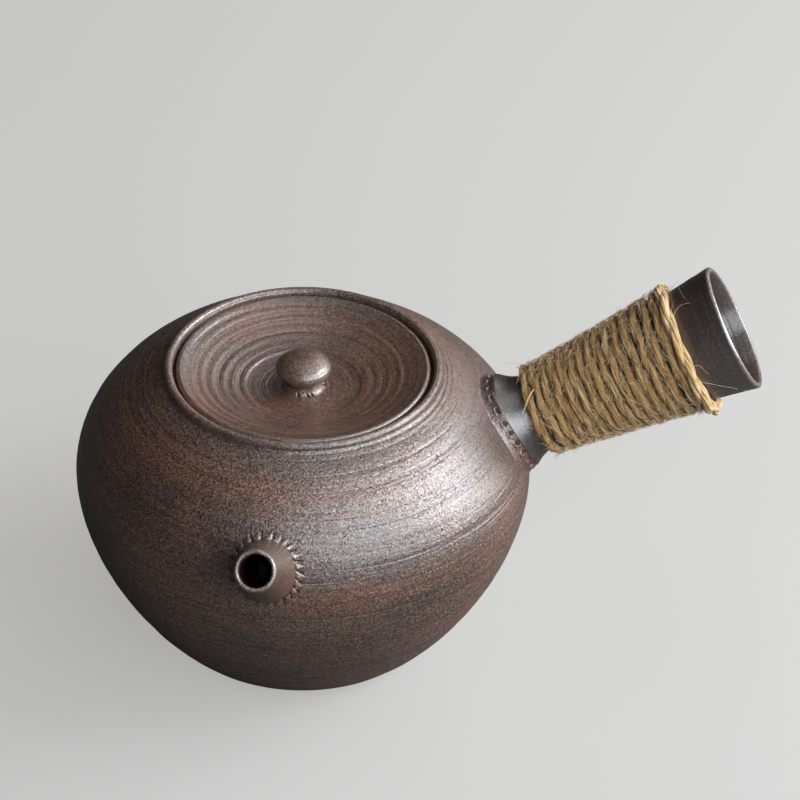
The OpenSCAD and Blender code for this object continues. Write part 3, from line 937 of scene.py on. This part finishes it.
class TEAPOT_OT_handle(Operator):
    """Throws the hollow handle and seats it on the wall"""

    bl_idname = "teapot.handle"
    bl_label = "Handle"

    def execute(self, context):
        h = context.scene.teapot_handle
        joint = handle_joint(context.scene)
        lip_from = h.twine_from + h.twine_turns * h.twine_pitch

        def hollow(at):
            thin = min(max((at - lip_from) / (h.reach - lip_from), 0.0), 1.0)
            return joint.skin(at) - h.wall - (h.lip_t - h.wall) * thin

        lip = h.lip_t / 2
        top = h.reach - lip
        rows, inner_rows = 180, 46
        outer = [(joint.skin(at), at, 0.0) for at in (top * i / rows for i in range(rows))]
        outer += arc((joint.skin(top) - lip, top), lip, 0, 180, 10, 0.5)
        down = [top * (1 - i / inner_rows) for i in range(1, inner_rows + 1)]
        inner = [(hollow(at), at, 0.0) for at in down]
        bm = spun_tube(outer, inner, hollow, HANDLE_STEPS)
        mark_handle(bm)
        seat_foot(bm, joint, hollow, 8 * MM)
        groove_foot(bm, joint)
        bmesh.ops.transform(bm, matrix=joint.matrix(), verts=bm.verts[:])
        finish_piece(bm, "thrown_handle", "handle_stoneware", "pot", "handle")
        return {"FINISHED"}


def ring_of_clay(sides, steps):
    """A torus of unit section round a unit circle, ready to be pressed onto a seam."""
    bm = bmesh.new()
    bmesh.ops.create_circle(bm, segments=sides, radius=0.25)
    bmesh.ops.rotate(bm, verts=bm.verts[:], cent=(0, 0, 0), matrix=Matrix.Rotation(math.pi / 2, 3, "X"))
    bmesh.ops.translate(bm, verts=bm.verts[:], vec=(1, 0, 0))
    spin_round(bm, steps)
    for kept in ("run", "wear", "pressed"):
        layer(bm, kept)
    return bm


def ring_points(bm, section):
    """Each vertex of a ring with its angle, its section of the seam, its lie and its depth.

    The lie runs from -1 at the wall, over 0 in the middle, to 1 at the foot, and the depth from 0 on the
    ring's outside to 1 in the middle of its hidden side. section(angle) is asked once for each angle.
    """
    known = {}
    for v in bm.verts:
        r, angle = polar(v)
        key = round(angle, 5)
        if key not in known:
            known[key] = section(angle)
        lie = math.atan2(v.co.z, r - 1) / (math.pi / 2)
        yield v, angle, known[key], min(max(lie, -1.0), 1.0), max(abs(lie) - 1, 0.0)


def press_ring(bm, corner, shape):
    """Moves each point of the ring to its place in the corner of a seam.

    corner(angle) gives the seam's point and the ways off the wall and off the foot's skin; shape(angle, lie,
    flank) gives the height above the corner, the distance across it, the share of wear and painted highlight
    and the share of painted shade, where flank is how steeply both sides rise.
    """
    wear_and_highlight_layer = layer(bm, "wear")
    shade_layer = layer(bm, "pressed")

    def section(angle):
        point, off_wall, off_skin = corner(angle)
        up = (off_wall + off_skin).normalized()
        across = (off_wall - off_skin).normalized()
        return point, up, across, math.tan(off_wall.angle(off_skin) / 2)

    for v, angle, (point, up, across, flank), lie, under in ring_points(bm, section):
        height, width, v[wear_and_highlight_layer], v[shade_layer] = shape(angle, lie, flank)
        if under:
            height = height * (1 - under) - 0.5 * MM * math.sin(under * math.pi / 2)
            width *= 1 - under
        v.co = point + up * height + across * width


def press_scales(scene):
    """Small teeth of clay drawn out onto the wall, each with a cut of the tool beside it.

    Each tooth is painted pale, as rubbed clay and a highlight, and each cut is painted dark as its shadow.
    """
    joint = spout_joint(scene)
    bm = ring_of_clay(20, 480)
    middles = [(math.radians(a), size) for a, size in SPOUT_TEETH]

    def corner(angle):
        at = joint.meet(angle)
        point = joint.place(at, joint.skin(at), angle)
        return point, joint.wall.way(point), joint.skin_way(at, angle)

    def shape(angle, lie, flank):
        rise = 0.0
        cut = 0.0
        point = 1 + 0.65 * min(lie, 0.0)
        for middle, size in middles:
            off = math.remainder(angle - middle - 0.05 * lie, TURN)
            rise = max(rise, size * (1 - blend(0.05 * point, 0.14 * point, abs(off))))
            cut = max(cut, size * (1 - blend(0.012, 0.045, abs(off + 0.135))))
        reach = 0.42 + (1.2 * max(rise, 0.9 * cut) if lie < 0 else 0.1 * rise)
        tooth = (reach * flank - 0.06) * lie * lie + (0.35 * flank + 0.42 * rise) * (1 - lie * lie)
        groove = reach * abs(lie) * flank + 0.03
        height = tooth + (groove - tooth) * cut
        # the wear share paints each tooth pale, as rubbed clay and a painted highlight; the last share paints
        # shadow in the cut
        return height * MM, lie * reach * MM, 0.9 * rise * (1 - lie * lie), 0.9 * cut

    press_ring(bm, corner, shape)
    finish_piece(bm, "spout_scales", "coil_stoneware", "pot", "spout_luting_coil")


def press_pits(scene):
    """A fillet that runs out on the wall and the neck, with a row of pits and the clay they pushed up."""
    joint = handle_joint(scene)
    count = scene.teapot_handle.pits
    bm = ring_of_clay(48, count * 18)
    wear_and_highlight_layer = layer(bm, "wear")
    shade_layer = layer(bm, "pressed")
    on_wall, on_neck = 0.9 * MM, 2.65 * MM
    pit_at, pit_wide, pit_long, pit_depth = 0.835, 0.44, 0.1, 1.1
    bead_at, bead_h = 0.69, 0.26

    def wide(at):
        return joint.skin(at) + on_wall

    def section(angle):
        at = joint.meet(angle)
        corner = joint.place(at, joint.skin(at), angle)
        low_at = joint.meet(angle, wide)
        low = joint.place(low_at, wide(low_at), angle)
        high = joint.place(at + on_neck, joint.skin(at + on_neck), angle)
        up = (joint.wall.way(corner) + joint.skin_way(at, angle)).normalized()
        place = angle / TURN * count + 0.35 * ring_noise(angle, 2, 2.9)
        return low, corner, high, up, abs(place - math.floor(place) - 0.5) * 2

    for v, _, (low, corner, high, up, near), lie, under in ring_points(bm, section):
        t = (lie + 1) / 2
        pit = 1 - blend(0.6, 1.05, math.hypot(near / pit_wide, (t - pit_at) / pit_long))
        bead = (1 - blend(0.2, 0.7, near)) * (1 - blend(0.03, 0.12, abs(t - bead_at)))
        lift = bead_h * bead - pit_depth * pit - 0.015 * blend(0.9, 1.0, abs(lie))
        point = low * (1 - t) ** 2 + corner * 2 * t * (1 - t) + high * t * t + up * lift * MM
        v.co = point.lerp(corner - up * 1.2 * MM, math.sin(under * math.pi / 2))
        v[wear_and_highlight_layer] = 0.85 * bead * (1 - pit)
        # painted shade in the pits
        v[shade_layer] = min(1.6 * pit, 1.0)
    finish_piece(bm, "handle_pits", "body_stoneware", "pot", "handle_luting_coil")


def press_nicks(scene):
    """A smooth fillet under the knob, with a few thin cuts of the tool painted dark as their shadow."""
    d = scene.teapot_lid
    neck_r = d.knob_neck_d / 2
    dish_z = d.top_z - d.dish_depth
    bm = ring_of_clay(24, 240)
    cuts = [math.radians(a) for a in (-106, -76, -62, 8, 71, 118, 201)]
    leg = 1.15

    def corner(angle):
        out = Vector((math.cos(angle), math.sin(angle), 0))
        return out * neck_r + Vector((0, 0, dish_z)), Vector((0, 0, 1)), out

    def shape(angle, lie, flank):
        apart = min(abs(math.remainder(angle + 0.1 * lie - cut, TURN)) for cut in cuts)
        nick = (1 - blend(0.03, 0.09, apart)) * (1 - abs(lie) ** 3)
        height = leg * flank * (0.55 + 0.45 * lie * lie) - 0.06 - 0.3 * nick
        # the last share paints shadow in the nicks
        return height * MM, lie * leg * MM, 0.12 * (1 - nick), 0.9 * nick

    press_ring(bm, corner, shape)
    finish_piece(bm, "knob_nicks", "coil_stoneware", "lid", "knob_luting_coil")


class TEAPOT_OT_luting(Operator):
    """Presses the marked coils of clay round the spout, the handle and the knob"""

    bl_idname = "teapot.luting"
    bl_label = "Luting"

    def execute(self, context):
        press_scales(context.scene)
        press_pits(context.scene)
        press_nicks(context.scene)
        return {"FINISHED"}


def throw_dish(d):
    """The saucer that drops into the collar, with a spiral of throwing marks."""
    lid_r = d.lid_d / 2
    ease = d.edge_t / 4
    bevel = 0.3 * MM
    edge_r = lid_r - ease
    dish_z = d.top_z - d.dish_depth
    step_r = d.dish_step_d / 2
    seat_z = d.top_z - d.edge_t

    def rise(r):
        slope_up = (max(r - d.flat_r, 0.0) / (edge_r - d.flat_r)) ** 1.7
        step = d.dish_step_h * blend(step_r - 0.1 * MM, step_r + 0.35 * MM, r)
        return (d.dish_depth - d.dish_step_h) * slope_up + step

    rows, under_rows = 130, 26
    profile = [(r, dish_z + rise(r), 0.0) for r in (edge_r * i / rows for i in range(rows))]
    profile += arc((edge_r, d.top_z - ease), ease, 90, 0, 8, 0.2)
    profile += [(lid_r, seat_z + bevel, 0.2), (lid_r - bevel, seat_z, 0.0), (d.step_r, seat_z, 0.0)]
    under = [d.step_r * (1 - i / under_rows) for i in range(under_rows + 1)]
    profile += [(r, min(seat_z, dish_z + rise(r)) - d.lid_t, 0.0) for r in under]
    bm = thrown(profile, LID_STEPS)
    for v in bm.verts:
        r, angle = polar(v)
        if v.co.z < dish_z + rise(min(r, edge_r)) - 0.6 * MM:
            continue
        fade = (0.25 + 0.75 * blend(12 * MM, 20 * MM, r)) * (1 - blend(edge_r - 1.2 * MM, edge_r, r))
        spiral = math.cos(TURN * r / d.ring_pitch - angle + 1.2 * out_of_round(angle, r))
        uneven = 0.5 + noise.noise((r / (6 * MM), math.cos(angle), math.sin(angle)))
        ring = 0.75 * d.ring_h * spiral * max(uneven, 0.2)
        near_knob = 1 - blend(0.4 * MM, 1.6 * MM, abs(r - 9.2 * MM))
        ridges = 0.05 * MM * math.cos(TURN * r / (0.62 * MM)) * near_knob
        v.co.z += fade * (ring + 0.6 * d.ring_h * throwing_marks(angle, r, *DISH_MARKS)) + ridges
        v.co.z += 0.08 * MM * out_of_round(angle, r) * blend(0.5 * MM, 8 * MM, r)
    finish_piece(bm, "dished_lid", "lid_stoneware", "lid", "lid")


def throw_knob(d):
    """The flattened ball on its short neck."""
    dish_z = d.top_z - d.dish_depth
    neck_r = d.knob_neck_d / 2
    root_z = dish_z - 0.4 * MM
    start = math.degrees(math.asin(d.knob_neck_d / d.knob_d))
    profile = [(0, root_z, 0.0), (neck_r + 0.2 * MM, root_z, 0.0), (neck_r, dish_z + 0.8 * MM, 0.0)]
    rows = 44
    for i in range(rows + 1):
        degrees = start + (180 - start) * i / rows
        a = math.radians(degrees)
        crown = blend(60, 90, degrees) * (1 - blend(110, 150, degrees))
        z = dish_z + d.knob_mid - d.knob_h / 2 * math.cos(a)
        profile.append((d.knob_d / 2 * math.sin(a), z, 0.12 * crown))
    bm = thrown(profile, KNOB_STEPS)
    for v in bm.verts:
        r, angle = polar(v)
        if r < 0.2 * MM or v.co.z < dish_z + 1.5 * MM:
            continue
        mark = throwing_marks(angle, v.co.z * 0.7 + r, *KNOB_MARKS) * 0.07 * MM
        swell = noise.noise((160 * v.co.x, 160 * v.co.y, 160 * v.co.z)) * 0.16 * MM
        push_out(v, (mark + swell) * blend(0.2 * MM, 2 * MM, r))
    finish_piece(bm, "ball_knob", "lid_stoneware", "lid", "lid_knob")


class TEAPOT_OT_lid(Operator):
    """Throws the dished lid and its knob"""

    bl_idname = "teapot.lid"
    bl_label = "Lid"

    def execute(self, context):
        d = context.scene.teapot_lid
        throw_dish(d)
        throw_knob(d)
        return {"FINISHED"}


class Winding:
    """The twine's middle line on the handle: places, ways and the frame that its plies turn in."""

    def __init__(self, scene, step=0.62 * MM):
        h = scene.teapot_handle
        self.joint = handle_joint(scene)
        self.h = h
        self.start = 1.5 * math.pi
        self.whole = TURN * h.twine_turns
        mean_r = self.joint.skin(h.twine_from + h.twine_turns * h.twine_pitch / 2) + h.twine_d / 2
        self.count = int(self.whole * mean_r / step)
        self.points = [self.at(i / self.count) for i in range(self.count + 1)]
        self.runs = [0.0]
        for a, b in zip(self.points, self.points[1:]):
            self.runs.append(self.runs[-1] + (b - a).length)
        self.frames = [self.frame_at(i) for i in range(self.count + 1)]

    def last_turn(self, t):
        """How far a place on the twine is into the loose last turn, from 0 to 1."""
        turns = self.h.twine_turns
        return blend(turns - 1.12, turns - 0.9, t * turns)

    def tail(self, run):
        """How far a place on the twine is clear of its tapered ends, from 0 to 1."""
        return blend(0.0, 2.5 * MM, min(run, self.runs[-1] - run))

    def at(self, t):
        """Point of the middle line at a share of its whole length."""
        h = self.h
        angle = self.start + self.whole * t
        turn = t * h.twine_turns
        s = h.twine_from + h.twine_pitch * turn
        drift = 0.2 * MM * noise.noise((angle * 0.55, 0.0, 9.1))
        s += drift + 0.12 * MM * noise.noise((angle * 1.7, 4.0, 1.3))
        s -= 0.9 * MM * blend(0.25, 0.6, turn) * (1 - blend(0.75, 1.15, turn))
        slack = blend(h.twine_turns - 6.5, h.twine_turns - 0.7, turn)
        s += 1.5 * MM * slack * (0.5 + 0.5 * math.cos(angle - 0.44))
        lift = 0.18 * MM * noise.noise((angle * 0.8, 6.0, 2.2))
        tied = 1 - blend(h.twine_turns - 0.15, h.twine_turns, turn)
        lift += self.last_turn(t) * tied * (0.25 + 0.9 * max(math.cos(angle - 2.8), 0.0)) * MM
        r = self.joint.skin(s) + 0.45 * h.twine_d + lift
        return self.joint.place(s, r, angle)

    def frame_at(self, i):
        """Directions out of the handle and across the twine."""
        way = self.points[min(i + 1, self.count)] - self.points[max(i - 1, 0)]
        way.normalize()
        t = i / self.count
        angle = self.start + self.whole * t
        s = self.h.twine_from + self.h.twine_pitch * self.h.twine_turns * t
        out = self.joint.skin_way(s, angle)
        out = (out - way * out.dot(way)).normalized()
        return out, way.cross(out)


def strand_path(winding, ply, number):
    """Middles and radii of one strand of a ply, and its run along the twine."""
    path = []
    d = winding.h.twine_d
    seed = 17.0 * ply + 3.7 * number

    def uneven(run, every, row):
        return noise.noise((run / every, seed, row))

    for i, (point, run) in enumerate(zip(winding.points, winding.runs)):
        out, across = winding.frames[i]
        last = winding.last_turn(i / winding.count)
        tail = winding.tail(run)
        fat = 1.0 + 0.18 * uneven(run, 9 * MM, 0.5) + 0.24 * last
        wander = 0.12 * noise.noise((run / (24 * MM), 1.0, 8.8))
        lay = TURN * (run / PLY_LAY + wander) + math.pi * ply
        own = -TURN * run / STRAND_LAY + TURN * number / PLY_STRANDS + 0.6 * uneven(run, 12 * MM, 7.0)
        half = PLY_OFF * d * fat
        thin = STRAND_OFF * d * fat * (1 + 0.2 * uneven(run, 5 * MM, 3.3))
        up = 1.05 * (half * math.cos(lay) + thin * math.cos(own))
        side = 0.93 * (half * math.sin(lay) + thin * math.sin(own))
        middle = point + tail * (out * up + across * side)
        radius = STRAND_R * d * fat * (0.3 + 0.7 * tail)
        radius *= 1 + 0.3 * uneven(run, 5 * MM, 6.1) + 0.3 * last
        path.append((middle, radius, run))
    return path


def wind_ply(winding, ply, name, node=None):
    """One ply of strands, each a tube along its own path."""
    paths = [strand_path(winding, ply, number) for number in range(PLY_STRANDS)]

    def lay(number):
        return 31 * number, 57 * ply

    def tone(number, i, run):
        patch = noise.noise((run / (11 * MM), 8.0 * number, 40.0 * ply))
        fleck = noise.noise((run / (2.5 * MM), 5.0 * number, 30.0 * ply))
        return 0.08 + 0.7 * patch + 0.6 * fleck + 0.25 * winding.last_turn(i / winding.count)

    piece = tubes(name, paths, 6)
    lay_fibres(piece.data, paths, 3.6, lay, 4.5 * MM, tone)
    tie(piece, "pot", node)


def wind_core(winding):
    """One darker tube between the plies that shows in the gaps, painted dark as the shade there."""
    d = winding.h.twine_d
    path = []
    for point, run, (out, _) in zip(winding.points, winding.runs, winding.frames):
        path.append((point - out * 0.14 * d, CORE_R * d * (0.3 + 0.7 * winding.tail(run)), run))

    def lay(number):
        return 400, 0

    def tone(number, i, run):
        # painted shade: one dark tone for the whole core
        return -0.4

    piece = tubes("twine_core", [path], 12)
    lay_fibres(piece.data, [path], 9, lay, 4.5 * MM, tone)
    tie(piece, "pot")


def loose_fibres(winding):
    """Stray fibres that start in the twine and curl off it, and a few long ones."""
    dice = random.Random(41)
    strays = winding.h.fibres
    paths = []
    for _ in range(strays):
        reach = dice.uniform(1.5, 5.0) * MM
        radius = dice.uniform(0.03, 0.06) * MM
        if dice.random() < LYING_SHARE:
            paths.append(lying_fibre(winding, dice, reach, radius))
        else:
            i = dice.randrange(20, winding.count - 20)
            paths.append(standing_fibre(winding, dice, i, 0.8 * reach, 0.7 * radius))
    paths += [long_fibre(winding.joint, thick, stops) for thick, stops in LONG_FIBRES]

    def lay(number):
        return 7.7 * number, 0.0

    def tone(number, i, run):
        draw = (number * 0.618) % 1.0
        return 1.0 if draw > 0.55 or number >= strays else draw - 0.2

    piece = tubes("twine_fibres", paths, 4)
    lay_fibres(piece.data, paths, 0.0, lay, 4 * MM, tone)
    tie(piece, "pot")


def standing_fibre(winding, dice, i, reach, radius):
    """One fibre: it leaves the twine at a low angle and curls."""
    out, across = winding.frames[i]
    swing = dice.uniform(0, TURN)
    side = across * math.cos(swing) + out * abs(math.sin(swing))
    point = winding.points[i] + side * 0.42 * winding.h.twine_d
    heading = across.cross(out) * dice.choice((-1, 1))
    heading += side * dice.uniform(0.15, 0.8)
    heading += across * dice.uniform(-0.5, 0.5)
    heading.normalize()
    bend = (out * dice.uniform(-0.6, 0.35) + across * dice.uniform(-0.6, 0.6)) * 0.35
    path = []
    run = 0.0
    for k in range(FIBRE_STEPS + 1):
        thin = 1 - 0.75 * (k / FIBRE_STEPS) ** 2
        path.append((point.copy(), radius * thin, run))
        heading = (heading + bend).normalized()
        point = point + heading * reach / FIBRE_STEPS
        run += reach / FIBRE_STEPS
    return path


def lying_fibre(winding, dice, reach, radius):
    """One fibre that has come loose and lies curled over the turns."""
    h = winding.h
    s = h.twine_from + dice.uniform(0.02, 0.96) * h.twine_turns * h.twine_pitch
    angle = dice.uniform(0, TURN)
    heading = dice.choice((0, math.pi)) + dice.gauss(0, 0.7)
    curl = dice.gauss(0, 0.25)
    lift = dice.uniform(0.05, 0.7) * MM
    step = reach / FIBRE_STEPS
    path = []
    for k in range(FIBRE_STEPS + 1):
        r = winding.joint.skin(s) + 0.84 * h.twine_d + lift * math.sin(math.pi * k / FIBRE_STEPS)
        path.append((winding.joint.place(s, r, angle), radius * (1 - 0.5 * k / FIBRE_STEPS), k * step))
        s += math.sin(heading) * step
        angle += math.cos(heading) * step / r
        heading += curl
    return path


def long_fibre(joint, thick, stops):
    """A long hair that stands out on the winding, as a smooth line through its stops."""
    places = []
    for s, a, lift in stops:
        places.append(joint.place(s * MM, joint.skin(s * MM) + lift * MM, math.radians(a)))
    path = []
    run = 0.0
    last = len(places) - 1
    for k in range(last):
        before = places[max(k - 1, 0)]
        after = places[min(k + 2, last)]
        start, end = places[k], places[k + 1]
        curve = geometry.interpolate_bezier(
            start, start + (end - before) / 6, end - (after - start) / 6, end, FIBRE_STEPS + 1
        )
        for j, point in enumerate(curve[:-1] if k < last - 1 else curve):
            done = (k + j / FIBRE_STEPS) / last
            path.append((point, thick * MM * (1 - 0.6 * done), run))
            run += 0.5 * MM
    return path


class TEAPOT_OT_twine(Operator):
    """Winds the twine on the handle, ply by ply, and lets fibres stand off it"""

    bl_idname = "teapot.twine"
    bl_label = "Twine"

    def execute(self, context):
        winding = Winding(context.scene)
        wind_ply(winding, 0, "twine_ply_a", "handle_twine")
        wind_ply(winding, 1, "twine_ply_b")
        wind_core(winding)
        loose_fibres(winding)
        return {"FINISHED"}


def tubes(name, paths, sides):
    """One piece of round twine tubes, each along a path of (middle, radius, run)."""
    curve = bpy.data.curves.new(name, "CURVE")
    curve.dimensions = "3D"
    curve.bevel_depth = 1.0
    curve.bevel_resolution = sides // 2 - 2
    for path in paths:
        spline = curve.splines.new("POLY")
        spline.points.add(len(path) - 1)
        for point, (middle, radius, _) in zip(spline.points, path):
            point.co = (middle.x, middle.y, middle.z, 1.0)
            point.radius = radius
    drawn = new_object(name, curve)
    mesh = shown_mesh(drawn)
    bpy.data.objects.remove(drawn)
    bpy.data.curves.remove(curve)
    expected = sides * sum(len(path) for path in paths)
    if len(mesh.vertices) != expected:
        raise RuntimeError(f"{name}: {len(mesh.vertices)} points instead of {expected}")
    bm = bmesh.new()
    bm.from_mesh(mesh)
    bmesh.ops.holes_fill(bm, edges=[e for e in bm.edges if e.is_boundary], sides=sides)
    bm.to_mesh(mesh)
    bm.free()
    mesh.name = name
    mesh.materials.clear()
    mesh.materials.append(material_of("twine_jute"))
    mesh.shade_smooth()
    return new_object(name, mesh)


def lay_fibres(mesh, paths, ring, middle, stretch, tone):
    """Keeps on every vertex where it lies in the noise of the fibres, and how pale it is.

    The lay goes round a ring about middle(number) of the tube, and along the tube it counts in stretches.
    tone(number, i, run) is asked once for each point of a path.
    """
    sides = len(mesh.vertices) // sum(len(path) for path in paths)
    mesh.attributes.new("lay", "FLOAT_VECTOR", "POINT")
    mesh.attributes.new("tone", "FLOAT", "POINT")
    lays, tones = mesh.attributes["lay"].data, mesh.attributes["tone"].data
    index = 0
    for number, path in enumerate(paths):
        x, y = middle(number)
        for i, (_, _, run) in enumerate(path):
            pale = tone(number, i, run)
            for k in range(sides):
                a = TURN * k / sides
                lays[index].vector = (ring * math.cos(a) + x, ring * math.sin(a) + y, run / stretch)
                tones[index].value = pale
                index += 1


class TEAPOT_OT_strainer(Operator):
    """Gives the strainer inside the wall a near-black clay, painted as the shade inside the pot"""

    bl_idname = "teapot.strainer"
    bl_label = "Strainer"

    def execute(self, context):
        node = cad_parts["strainer"]
        node.data.materials.clear()
        # near-black clay: painted shade
        node.data.materials.append(material_of("stained_stoneware"))
        return {"FINISHED"}


def lay_floor(scene):
    """A wide pale sheet under the foot."""
    bm = bmesh.new()
    bmesh.ops.create_grid(bm, x_segments=4, y_segments=4, size=2.0)
    sheet = new_object("studio_floor", mesh_of(bm, "studio_floor"), scene.collection)
    sheet.data.materials.append(floor_material(scene.teapot_looks))


def hang_lamp(scene, name, place, size, power, colour):
    """A rectangular soft lamp that looks at the pot."""
    data = bpy.data.lights.new(name, "AREA")
    data.shape = "RECTANGLE"
    data.size, data.size_y = size
    data.energy = power
    data.color = colour
    lamp = new_object(name, data, scene.collection)
    lamp.location = place
    lamp.rotation_euler = (LAMP_AIM - Vector(place)).to_track_quat("-Z", "Y").to_euler()


def dim_room(scene):
    """A dim room, which the camera sees paler than it lights the pot."""
    scene.world = bpy.data.worlds.new("pale_room")
    scene.world.use_nodes = True
    tree = scene.world.node_tree
    strength = calc(tree, "MULTIPLY_ADD", camera_ray(tree), ROOM_SEEN, ROOM_LIGHT)
    fill(tree, tree.nodes["Background"], Color=ROOM_COLOUR, Strength=strength)


def set_camera(scene):
    """The photograph's viewing angle."""
    data = bpy.data.cameras.new("studio_camera")
    data.lens = 135.0
    data.sensor_width = 36.0
    data.clip_start = 0.05
    data.clip_end = 20.0
    camera = new_object("studio_camera", data, scene.collection)
    turn = (CAMERA_AIM - CAMERA_STAND).to_track_quat("-Z", "Y").to_matrix().to_4x4()
    roll = Matrix.Rotation(CAMERA_ROLL, 4, "Z")
    camera.matrix_world = Matrix.Translation(CAMERA_STAND) @ turn @ roll
    scene.camera = camera


class TEAPOT_OT_stage(Operator):
    """Lays the studio floor, hangs the lamps and sets up the camera"""

    bl_idname = "teapot.stage"
    bl_label = "Stage"

    def execute(self, context):
        scene = context.scene
        lay_floor(scene)
        for lamp in LAMPS:
            hang_lamp(scene, *lamp)
        dim_room(scene)
        set_camera(scene)
        scene.view_settings.view_transform = "Standard"
        return {"FINISHED"}


class TEAPOT_PT_sidebar(Panel):
    """Lists the teapot's pieces and sizes"""

    bl_idname = "TEAPOT_PT_sidebar"
    bl_label = "Teapot"
    bl_space_type = "VIEW_3D"
    bl_region_type = "UI"
    bl_category = "Teapot"

    def draw(self, context):
        scene = context.scene
        for operator in OPERATORS:
            self.layout.operator(operator.bl_idname)
        for name in GROUPS:
            box = self.layout.box()
            group = getattr(scene, name)
            for key in group.bl_rna.properties.keys():
                if key not in {"rna_type", "name"}:
                    box.prop(group, key)


GROUPS = {
    "teapot_body": TeapotBodySizes,
    "teapot_spout": TeapotSpoutSizes,
    "teapot_handle": TeapotHandleSizes,
    "teapot_lid": TeapotLidSizes,
    "teapot_looks": TeapotLooks,
}
OPERATORS = (
    TEAPOT_OT_stage,
    TEAPOT_OT_body,
    TEAPOT_OT_spout,
    TEAPOT_OT_handle,
    TEAPOT_OT_luting,
    TEAPOT_OT_lid,
    TEAPOT_OT_strainer,
    TEAPOT_OT_twine,
)


def register():
    """Registers the sizes, the operators and the panel."""
    for group in GROUPS.values():
        bpy.utils.register_class(group)
    for name, group in GROUPS.items():
        setattr(bpy.types.Scene, name, PointerProperty(type=group))
    for operator in OPERATORS:
        bpy.utils.register_class(operator)
    bpy.utils.register_class(TEAPOT_PT_sidebar)


def unregister():
    """Takes back what register did."""
    bpy.utils.unregister_class(TEAPOT_PT_sidebar)
    for operator in reversed(OPERATORS):
        bpy.utils.unregister_class(operator)
    for name in GROUPS:
        delattr(bpy.types.Scene, name)
    for group in reversed(list(GROUPS.values())):
        bpy.utils.unregister_class(group)


def main():
    """Builds every piece in order."""
    register()
    bpy.ops.teapot.stage()
    bpy.ops.teapot.body()
    bpy.ops.teapot.spout()
    bpy.ops.teapot.handle()
    bpy.ops.teapot.luting()
    bpy.ops.teapot.lid()
    bpy.ops.teapot.strainer()
    bpy.ops.teapot.twine()


if __name__ == "__main__":
    main()
